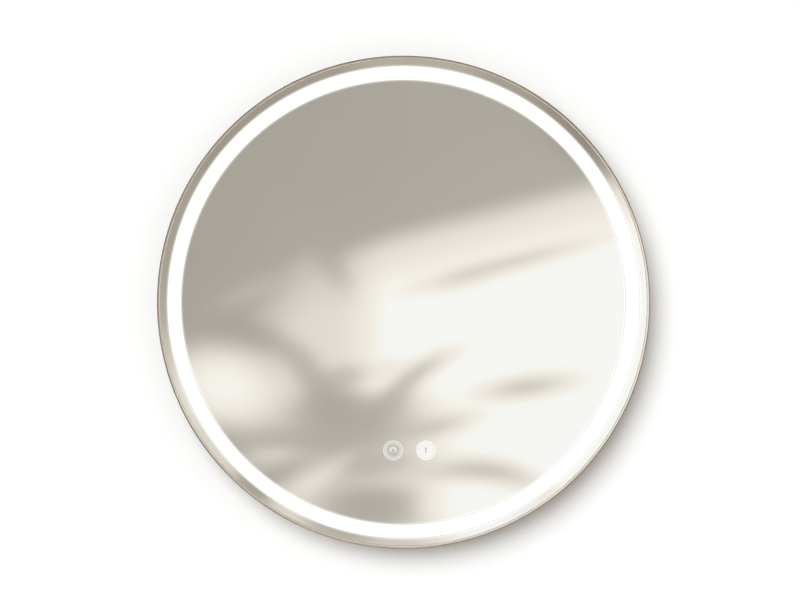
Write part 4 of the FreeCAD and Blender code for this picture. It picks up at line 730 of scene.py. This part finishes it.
shape = bmesh.new()
turned(shape, [(BAND_INNER, GLASS_FRONT), (BAND_OUTER, GLASS_FRONT), (BAND_OUTER, LAID_IN),
               (BAND_INNER, LAID_IN)], steps=BAND_STEPS)
make_piece("frosted_ring", shape, [frosted], "mirror")

# %% [markdown]
# ## The touch marks
# Each mark is a round, 24 mm across, blasted into the glass like the ring and lit softly from behind.
# The left one has a bright thin rim, a second pale ring and a small arch in a greyer middle, for the
# demister. The right one is nearly all white, with a fine ring and a small arrow that points up, for the
# light. Both are plain signs that any maker could use. They are flat discs in the face's recesses, with
# one loop of faces for each zone, and the signs are thin inlays that stand 0.05 mm proud.

# %% Finishes and pieces: touch marks
RIM, GREY, RING, PALE, LINE, SIGN, BACK = range(7)
MARK_TONES = [
    ("mark_rim", (197, 195, 191), (188, 186, 182), 0.64),
    ("mark_grey", (164, 161, 156), (156, 153, 148), 0.50),
    ("mark_ring", (190, 187, 183), (178, 176, 172), 0.46),
    ("mark_white", (201, 200, 197), (197, 196, 193), 0.55),
    ("mark_line", (192, 190, 186), (188, 186, 182), 0.54),
    ("mark_sign", (167, 165, 162), (159, 157, 154), 0.46),
]
MARK_FINISHES = [plain_finish(name, tone, other, (0.3, 0.45), 1400, 0.01, glows=glow, Coat_Weight=1.0,
                              Coat_Roughness=0.03)[0] for name, tone, other, glow in MARK_TONES] + [recess]
PROUD = 0.05


def mark_disc(centre, zones):
    """A disc laid into the glass; each zone is the radius it ends at and its finish."""
    shape = bmesh.new()
    fronts = [(radius, GLASS_FRONT) for radius, finish in zones] + [(0, GLASS_FRONT)]
    turned(shape, [(0, LAID_IN), (MARK_RADIUS, LAID_IN)] + fronts, centre, MARK_STEPS,
           [BACK, BACK] + [finish for radius, finish in zones] + [BACK])
    return shape


def inlay(shape, outline, centre, finish):
    """A flat sign that stands a little proud of the disc, from (x, z) points round its middle."""
    front, back = ([shape.verts.new(((centre[0] + x) * MM, depth * MM, (centre[1] + z) * MM))
                    for x, z in outline] for depth in (GLASS_FRONT - PROUD, GLASS_FRONT + PROUD))
    faces = [shape.faces.new(front), shape.faces.new(back[::-1])] + bridge(shape, front, back)
    for face in faces:
        face.material_index = finish


def arc_outline(inner, outer, start, end, steps=20):
    """A thick arc as one outline, in degrees."""
    turns = [math.radians(start + (end - start) * step / steps) for step in range(steps + 1)]
    return ([(outer * math.cos(turn), outer * math.sin(turn)) for turn in turns]
            + [(inner * math.cos(turn), inner * math.sin(turn)) for turn in reversed(turns)])


shape = mark_disc(MARKS[0], [(MARK_RADIUS, RIM), (10.9, GREY), (10.0, RING), (7.9, GREY)])
inlay(shape, arc_outline(2.5, 4.2, -35, 215), MARKS[0], RIM)
make_piece("demister_mark", shape, MARK_FINISHES, "mirror")
shape = mark_disc(MARKS[1], [(MARK_RADIUS, PALE), (9.4, LINE), (8.9, PALE)])
inlay(shape, [(-2.1, 1.6), (-0.75, 1.6), (-0.75, -3.6), (0.75, -3.6), (0.75, 1.6), (2.1, 1.6), (0, 4.2)],
      MARKS[1], SIGN)
make_piece("light_mark", shape, MARK_FINISHES, "mirror")

# %% [markdown]
# ## The hoop
# The hoop is one metal strip, rolled to a profile and bent into a ring: a lip over the glass, a rib
# behind it, and a flange that the back panel screws to. Its ends meet at the bottom in a hair-thin seam.
# A shape that is one section swept round a circle is just what Curve to Mesh makes, so the section is
# drawn as a small closed outline, with its outer corners rounded, and a Geometry Nodes tree sweeps it.

# %% Geometry Nodes helpers
def new_growth(name, inputs):
    """A Geometry Nodes tree with a geometry in and out, the named inputs and a finish."""
    return new_tree(name, [("Geometry", "Geometry", None)] + inputs + [("Finish", "Material", None)],
                    [("Geometry", "Geometry")], "GeometryNodeTree")


def end_growth(tree, made, given, gives):
    """Make real what was only instanced and give it its finish, as the export needs."""
    whole = add_node(tree, "GeometryNodeRealizeInstances", {0: made}).outputs[0]
    dressed = add_node(tree, "GeometryNodeSetMaterial", {"Geometry": whole, "Material": given["Finish"]})
    tree.links.new(dressed.outputs[0], gives["Geometry"])
    print(tree.name, "has", len(tree.nodes), "nodes")


def grow(name, mesh, tree, values, sharp=35):
    """Run a tree on a mesh and keep the result as a plain piece."""
    piece = show(name, mesh)
    modifier = piece.modifiers.new("growth", "NODES")
    modifier.node_group = tree
    for socket in tree.interface.items_tree:
        if socket.in_out == "INPUT" and socket.name in values:
            modifier[socket.identifier] = values[socket.name]
    ready = bpy.context.evaluated_depsgraph_get()
    grown = bpy.data.meshes.new_from_object(piece.evaluated_get(ready), preserve_all_data_layers=True,
                                            depsgraph=ready)
    grown.name = name
    piece.modifiers.clear()
    piece.data = grown
    grown.shade_smooth()
    grown.set_sharp_from_angle(angle=math.radians(sharp))
    return piece


# %% Tree: a section swept round the mirror
sweep, given, gives = new_growth(
    "section_round_mirror",
    [("Radius", "Float", 0.3), ("Seam", "Float", 0.001), ("Centre Height", "Float", 0.0),
     ("Steps", "Int", 360)])
section = add_node(sweep, "GeometryNodeMeshToCurve", {0: given["Geometry"]}).outputs[0]
start = calculate(sweep, "MULTIPLY_ADD", given["Seam"], 0.5, -math.pi / 2)
path = add_node(sweep, "GeometryNodeCurveArc",
                {"Resolution": given["Steps"], "Radius": given["Radius"], "Start Angle": start,
                 "Sweep Angle": calculate(sweep, "SUBTRACT", math.tau, given["Seam"])}).outputs[0]
level = add_node(sweep, "GeometryNodeSetCurveNormal", {0: path}, mode="Z_UP").outputs[0]
swept = add_node(sweep, "GeometryNodeCurveToMesh",
                 {"Curve": level, "Profile Curve": section, "Fill Caps": True}).outputs[0]
lift = add_node(sweep, "ShaderNodeCombineXYZ", {2: given["Centre Height"]}).outputs[0]
stood = add_node(sweep, "GeometryNodeTransform",
                 {"Geometry": swept, "Translation": lift, "Rotation": (math.pi / 2, 0, 0)}).outputs[0]
end_growth(sweep, stood, given, gives)

# %% [markdown]
# The finish is brushed and anodised to a champagne tone: fine streaks round the ring in the colour, the
# roughness and the relief, under a thin coat. The front of the lip and its inner edge are then polished,
# so they are sharper than the side, and paler because the side is painted a darker copy of the tone, as
# shade, which also keeps it from throwing much light onto the wall. A thin dark line of painted shade on
# the lip's rounded corner draws the mirror's outline. Masks on the depth and on the distance from the
# middle say what is front, inner edge or corner. A wall mirror is hardly touched, so no worn edges show.

# %% Finish: champagne metal
champagne, tree, shader, place, colour, bump = plain_finish(
    "brushed_champagne", (232, 223, 211), (222, 212, 198), (0.16, 0.24), 900, 0.004, Metallic=1.0,
    Coat_Weight=0.25, Coat_Roughness=0.05)
# The front's polish is real; the side's darker tone and the dark line on its corner are painted shade.
LIP_FRONT = -0.03794, -0.0378     # the depths, in metres, between which the front's polish ends
PAINTED_LINE_DEPTHS = -0.0364, -0.0359     # and those between which the dark corner turns into the side
LIP_INSIDE = 296.7, 297.2         # millimetres from the middle, where the inner edge's polish ends
round_about = use(tree, round_mirror, Place=place, Along=9.0, Across=900.0)
outward = add_node(tree, "ShaderNodeSeparateXYZ", {0: place}).outputs[1]
streaks = rescale(tree, round_about["Streaks"], 0.35, 0.65, 0.0, 1.0)
lip_front = rescale(tree, outward, *LIP_FRONT, 1.0, 0.0)
lip_inside = rescale(tree, round_about["Distance"], *LIP_INSIDE, 1.0, 0.0)
polished = calculate(tree, "MAXIMUM", lip_front, lip_inside)
# painted shade: a thin dark line on the lip's rounded corner, between front and side
painted_dark_line = rescale(tree, outward, *PAINTED_LINE_DEPTHS, 1.0, 0.0)
front_tone = mix_tones(tree, streaks, tint(243, 236, 226), colour)
# painted shade: the side is a darker copy of the champagne tone, and its corner darker still
painted_shade_side_tone = mix_tones(tree, streaks, tint(200, 186, 167), tint(174, 160, 141))
painted_shade_side_tone = mix_tones(tree, painted_dark_line, painted_shade_side_tone, tint(124, 108, 94))
front_rough = rescale(tree, streaks, 0.0, 1.0, 0.03, 0.09)
side_rough = rescale(tree, streaks, 0.0, 1.0, 0.18, 0.30)
tree.links.new(mix_tones(tree, polished, painted_shade_side_tone, front_tone), shader.inputs["Base Color"])
tree.links.new(rescale(tree, polished, 0.0, 1.0, side_rough, front_rough), shader.inputs["Roughness"])
tree.links.new(streaks, bump.inputs["Height"])
print("champagne metal made of", len(tree.nodes), "nodes")

# %% Piece: hoop
HOOP_RADIUS = 300.0
SEAM_WIDE = 0.3
HOOP = [(296.5, -36.5), (296.5, -38), (300, -38), (300, -2), (298.4, -2), (298.4, -11), (292, -11),
        (292, -14), (298.4, -14), (298.4, -29.6), (294, -29.6), (294, -30.8), (298.4, -30.8),
        (298.4, -36.5)]
INNER_CORNER, OUTER_CORNER = 1, 2      # of the lip's front, as numbers in the list


def rounded(outline, corners, radius, steps=4):
    """The outline with some of its corners rounded; corners are point numbers."""
    result = []
    for number, point in enumerate(outline):
        here = Vector(point)
        if number not in corners:
            result.append(here)
            continue
        before, after = Vector(outline[number - 1]), Vector(outline[(number + 1) % len(outline)])
        enter = here + (before - here).normalized() * radius
        leave = here + (after - here).normalized() * radius
        for step in range(steps + 1):
            part = step / steps
            result.append((1 - part) ** 2 * enter + 2 * part * (1 - part) * here + part ** 2 * leave)
    return result


points = rounded(HOOP, {OUTER_CORNER}, 1.6, 10)
points = rounded(points, {INNER_CORNER}, 0.15, 3)
section_mesh = bpy.data.meshes.new("hoop_section")
section_mesh.from_pydata([((radius - HOOP_RADIUS) * MM, depth * MM, 0) for radius, depth in points],
                         [(number, (number + 1) % len(points)) for number in range(len(points))], [])
hoop = grow("champagne_hoop", section_mesh, sweep,
            {"Radius": HOOP_RADIUS * MM, "Seam": SEAM_WIDE / HOOP_RADIUS, "Centre Height": CENTRE_Z * MM,
             "Steps": 540, "Finish": champagne})
settle(hoop, "mirror", ["frame_hoop"])

# %% [markdown]
# ## Screws and rivets
# The back is held by small pan-head screws with a cross recess, each left at its own turn by whoever
# drove it, and the hanging rail by blind rivets with a hollow in the middle of the head. One fastener is
# modelled with care; a tree then puts a copy on every point of a small mesh of places, turned at random
# from a fixed seed.

# %% Tree: fasteners on points
fasten, given, gives = new_growth(
    "fasteners_on_points", [("Fastener", "Object", None), ("Turn Seed", "Int", 1)])
model = add_node(fasten, "GeometryNodeObjectInfo", {"Object": given["Fastener"]}).outputs["Geometry"]
turns = add_node(fasten, "FunctionNodeRandomValue",
                 {2: 0.0, 3: math.tau, "Seed": given["Turn Seed"]}, data_type="FLOAT").outputs[1]
about = add_node(fasten, "ShaderNodeCombineXYZ", {1: turns}).outputs[0]
copies = add_node(fasten, "GeometryNodeInstanceOnPoints",
                  {"Points": given["Geometry"], "Instance": model, "Rotation": about}).outputs[0]
end_growth(fasten, copies, given, gives)

# %% Models: a cross-recess screw and a blind rivet
ARM_LONG, ARM_WIDE = 0.95, 0.24       # of the cross, as parts of the head's radius
RECESS_TAPER = 0.45


def cross_screw(name, long, head=2.7, tall=1.8, shank=1.5):
    """A pan-head screw along +Y: its head's underside at 0, its shank going to -Y."""
    shape = bmesh.new()
    dome = [(head * part, tall * (1 - 0.55 * part ** 4)) for part in (0, 0.45, 0.75, 0.92)]
    outline = dome + [(head, tall * 0.25), (head, 0), (shank, 0), (shank * 0.9, -long), (0, -long)]
    turned(shape, outline[::-1], (0, 0), 20, closed=False)
    screw = show(name, closed_mesh(name, shape))
    cross = bmesh.new()
    for wide, deep in ((ARM_LONG, ARM_WIDE), (ARM_WIDE, ARM_LONG)):
        for vert in bmesh.ops.create_cube(cross, size=1.0)["verts"]:
            part = head * (RECESS_TAPER if vert.co.y < 0 else 1.0)
            height = tall * (0.82 if vert.co.y > 0 else -0.1) + tall * 0.35
            vert.co = Vector((vert.co.x * wide * part, height, vert.co.z * deep * part)) * MM
    cutter = show(name + "_recess", closed_mesh(name + "_recess", cross))
    cut = screw.modifiers.new("recess", "BOOLEAN")
    cut.operation, cut.solver, cut.object, cut.use_self = "DIFFERENCE", "EXACT", cutter, True
    ready = bpy.context.evaluated_depsgraph_get()
    screw_mesh = bpy.data.meshes.new_from_object(screw.evaluated_get(ready))
    screw.modifiers.clear()
    screw.data = screw_mesh
    bpy.data.objects.remove(cutter)
    return screw


def blind_rivet(name, head=4.0, tall=1.0, shank=2.0, long=3.5):
    """A rivet along +Y with a hollow in the middle of its head."""
    shape = bmesh.new()
    outline = [(0, tall * 0.35), (head * 0.3, tall * 0.35), (head * 0.36, tall), (head * 0.7, tall * 0.86),
               (head * 0.93, tall * 0.5), (head, tall * 0.12), (head, 0), (shank, 0), (shank, -long),
               (0, -long)]
    turned(shape, outline[::-1], (0, 0), 24, closed=False)
    return show(name, closed_mesh(name, shape))


# %% Pieces: screws and rivets
PANEL_SCREWS = 8
PANEL_SCREW_RADIUS = 295.2
plated = plain_finish("plated_steel_screw", (206, 204, 198), (182, 180, 172), (0.22, 0.4), 1500, 0.004,
                      Metallic=1.0)[0]


def fasteners(name, solids, model, places, seed):
    """Copies of a model at (x, depth, z) places, in millimetres."""
    mesh = bpy.data.meshes.new(name + "_places")
    mesh.from_pydata([tuple(value * MM for value in place) for place in places], [], [])
    piece = grow(name, mesh, fasten, {"Fastener": model, "Turn Seed": seed, "Finish": plated}, 30)
    bpy.data.objects.remove(model)
    settle(piece, "mirror", [solids])


def box_corners(left, right, depth):
    """Where the screws of a cover sit; both covers are as tall."""
    return [(x, depth, z) for z in (-107.0, -73.0) for x in (left, right)]


angles = [math.tau * (number + 0.5) / PANEL_SCREWS for number in range(PANEL_SCREWS)]
ring_places = [(PANEL_SCREW_RADIUS * math.cos(angle), -10.0,
                CENTRE_Z + PANEL_SCREW_RADIUS * math.sin(angle)) for angle in angles]
fasteners("panel_screw_set", "panel_screws", cross_screw("panel_screw", 5.0), ring_places, 3)
fasteners("junction_screw_set", "junction_screws", cross_screw("junction_screw", 5.0),
          box_corners(76.0, 148.0, -8.4), 5)
fasteners("driver_screw_set", "driver_screws", cross_screw("driver_screw", 12.0),
          box_corners(-134.0, 4.0, -10.0), 7)
fasteners("hanger_rivet_set", "hanger_rivets", blind_rivet("hanger_rivet"),
          [(x, -8.5, 45.0) for x in (-105.0, -35.0, 35.0, 105.0)], 9)

# %% [markdown]
# ## Rubber feet and the cable grommet
# Two grey rubber feet keep the mirror's lower edge off the wall, and a black grommet lines the hole
# where the supply cable enters. Both are moulded, so their corners are round and the foot has shallow
# rings on its pad that grip the wall. They are turned shapes, drawn as half a section. Each keeps to
# its solid: the foot's neck goes through the back panel and its inner flange holds it there.

# %% Pieces: feet and grommet
grey_rubber = plain_finish("moulded_grey_rubber", (126, 126, 124), (108, 108, 107), (0.6, 0.8), 1900,
                           0.03)[0]
GRIP = [(radius + step, depth) for radius in (1.8, 3.8, 5.8)
        for step, depth in ((0, 0), (0.1, -0.4), (0.7, -0.4), (0.8, 0))]
FOOT = [(0, 0)] + GRIP + [
    (7.5, 0), (8.3, -0.3), (8.8, -0.9), (9, -1.7), (9, -4.6), (8.7, -4.9), (8.7, -5.5), (9, -5.8),
    (9, -9.6), (8.6, -10), (3, -10), (3, -11), (4.2, -11), (1.5, -14), (0, -14)]
shape = bmesh.new()
for x in (-150.0, 150.0):
    turned(shape, FOOT, (x, -320.0), 64, closed=False)
make_piece("rubber_feet", shape, [grey_rubber], "mirror", ["wall_feet"], 50)

GROMMET = [(4, -6.9), (8.6, -6.9), (8.6, -8.4), (6.3, -8.4), (6.3, -10), (8.6, -10), (8.6, -11.5),
           (4, -11.5)]
shape = bmesh.new()
turned(shape, rounded(GROMMET, {0, 1, 6, 7}, 0.7, 3), (94.0, -90.0), 64)
make_piece("entry_grommet", shape, [black_rubber], "mirror", ["cable_grommet"], 50)

# %% [markdown]
# ## The steel behind the mirror
# The back panel is hot-dip galvanised sheet, grey with flat zinc crystals some ten millimetres across.
# The two rails that hang the mirror are thicker steel with a brighter plated skin and fine streaks along
# them from the rolling. Their solids have the right shape, so only the finish is new.

# %% Finishes: galvanised and plated steel
def dress(finish, *names):
    """Give solids of the frame a finish; their shape is left as it is."""
    for name in names:
        for slot in cad_nodes[name].material_slots:
            slot.material = finish


def dress_plainly(names, *look, **more):
    """Give solids a plain finish of their own."""
    dress(plain_finish(*look, **more)[0], *names)


galvanised, tree, shader, place, colour, bump = plain_finish(
    "galvanised_sheet", (178, 182, 184), (168, 172, 175), (0.34, 0.5), 700, 0.01, Metallic=0.85)
crystals = use(tree, zinc_crystals, Place=place, Scale=95.0)
tree.links.new(mix_tones(tree, crystals["Tone"], colour, tint(198, 202, 203)), shader.inputs["Base Color"])
tree.links.new(rescale(tree, crystals["Tone"], 0.0, 1.0, 0.28, 0.5), shader.inputs["Roughness"])
tree.links.new(crystals["Relief"], bump.inputs["Height"])
dress(galvanised, "back_panel")
dress(plated, "splice_screws")
dress_plainly(["hanger_bracket", "wall_bracket"], "plated_rail_steel", (206, 206, 201), (180, 181, 178),
              (0.24, 0.42), 900, 0.008, stretch=(0.04, 1, 1), Metallic=1.0)
dress_plainly(["splice_key"], "cast_alloy", (168, 168, 166), (146, 147, 146), (0.42, 0.6), 1300, 0.03,
              Metallic=1.0)
dress_plainly(["touch_spring_left", "touch_spring_right"], "drawn_spring_wire", (190, 190, 186),
              (160, 160, 157), (0.2, 0.35), 2500, 0.003, Metallic=1.0)
dress_plainly(["light_channel"], "powder_coated_white", (240, 240, 237), (232, 232, 229), (0.4, 0.55), 1100,
              0.03)
dress_plainly(["terminal_screws"], "terminal_brass_finish", (214, 186, 118), (190, 160, 96), (0.22, 0.4),
              1800, 0.005, Metallic=1.0)
print("steel and brass dressed")

# %% [markdown]
# ## Plastics and rubber
# Moulded plastics carry the fine spark-eroded tooth of their mould: a tiny relief and a roughness that
# varies little. The opal ring is milky and lets light through, so it shines a little by itself. The
# light guides are clear.

# %% Finishes: plastics
dress(black_rubber, "glass_gasket")
dress_plainly(["diffuser_ring"], "opal_acrylic", (248, 247, 242), (240, 240, 236), (0.3, 0.42), 900, 0.01,
              glows=0.5)
dress_plainly(["driver_base", "driver_lid", "touch_housing_left", "touch_housing_right", "lead_clips"],
              "white_moulding", (238, 238, 234), (228, 228, 223), (0.4, 0.55), 1700, 0.02)
dress_plainly(["junction_tray", "junction_cover"], "grey_moulding", (148, 149, 150), (134, 135, 137),
              (0.42, 0.6), 1700, 0.03)
dress_plainly(["terminal_block"], "terminal_moulding", (236, 230, 212), (224, 217, 197), (0.4, 0.55), 1600,
              0.02)
dress_plainly(["touch_light_guide_left", "touch_light_guide_right"], "clear_acrylic", (246, 248, 248),
              (238, 242, 242), (0.05, 0.14), 700, 0.004, Transmission_Weight=0.85, IOR=1.49)
dress_plainly(["mains_lead", "led_lead", "demister_lead"], "white_sheathed_lead", (232, 231, 227),
              (218, 217, 213), (0.4, 0.55), 1500, 0.02)
dress_plainly(["touch_lead_left", "touch_lead_right"], "grey_sheathed_lead", (142, 143, 146),
              (124, 125, 128), (0.4, 0.55), 1500, 0.02)
print("plastics dressed")

# %% [markdown]
# ## Boards, lights and films
# A circuit board is green varnish over a maze of copper tracks, which show as lighter lines. The light
# strip is white, with a row of small pads. The heated film behind the glass has its silver track laid
# in long even runs. Brick patterns give the tracks, pads and runs. The film on the glass is thin and a
# little creased, the chips glow yellow, and the parts of the supply are black tape and blue sleeving.

# %% Finishes: boards, chips and films
WHITE = (1, 1, 1, 1)
UPRIGHT = (math.pi / 2, 0, 0)


def dress_tracked(names, name, base, other, track, wide, tall, line, relief):
    """Give boards or a film a grid of lines; a cell's width and height and the line are in millimetres."""
    made, tree, shader, place, colour, bump = plain_finish(name, base, other, (0.3, 0.45), 1500, relief)
    flat = add_node(tree, "ShaderNodeMapping", {"Vector": place, "Rotation": UPRIGHT}).outputs[0]
    grid = add_node(tree, "ShaderNodeTexBrick",
                    {"Vector": flat, "Color1": BLACK, "Color2": BLACK, "Mortar": WHITE, "Scale": 1.0,
                     "Mortar Size": line * MM, "Brick Width": wide * MM, "Row Height": tall * MM})
    lines = add_node(tree, "ShaderNodeSeparateColor", {0: grid.outputs["Color"]}).outputs[0]
    tree.links.new(mix_tones(tree, lines, colour, tint(*track)), shader.inputs["Base Color"])
    tree.links.new(lines, bump.inputs["Height"])
    dress(made, *names)


dress_tracked(["driver_board", "touch_board_left", "touch_board_right"], "green_varnished_board",
              (34, 92, 62), (26, 78, 52), (78, 138, 96), 7.0, 1.9, 0.32, 0.02)
dress_tracked(["led_strip"], "white_light_strip", (240, 240, 236), (230, 230, 226), (206, 196, 170),
              12.0, 5.2, 0.5, 0.01)
dress_tracked(["demister_pad"], "heated_film", (214, 204, 184), (204, 193, 172), (176, 174, 168),
              280.0, 6.0, 0.9, 0.02)
dress_plainly(["safety_film"], "safety_film_on_glass", (222, 224, 222), (206, 209, 208), (0.3, 0.5), 40,
              0.15)
dress_plainly(["silver_backing"], "silver_layer", (222, 222, 220), (206, 206, 204), (0.08, 0.2), 300, 0.002,
              Metallic=1.0)
dress_plainly(["led_chips", "touch_leds"], "light_chip_phosphor", (246, 226, 140), (240, 214, 118),
              (0.35, 0.5), 2000, 0.01, glows=0.8)
dress_plainly(["driver_transformer"], "ferrite_and_tape", (70, 68, 66), (48, 47, 47), (0.45, 0.7), 900,
              0.04)
dress_plainly(["driver_capacitors"], "capacitor_sleeving", (44, 58, 92), (34, 46, 76), (0.25, 0.4), 1200,
              0.01)
left_plain = [name for name, solid in cad_nodes.items()
              if not solid.hide_render and solid.material_slots
              and not solid.material_slots[0].material.node_tree]
print("solids without a finish:", left_plain)
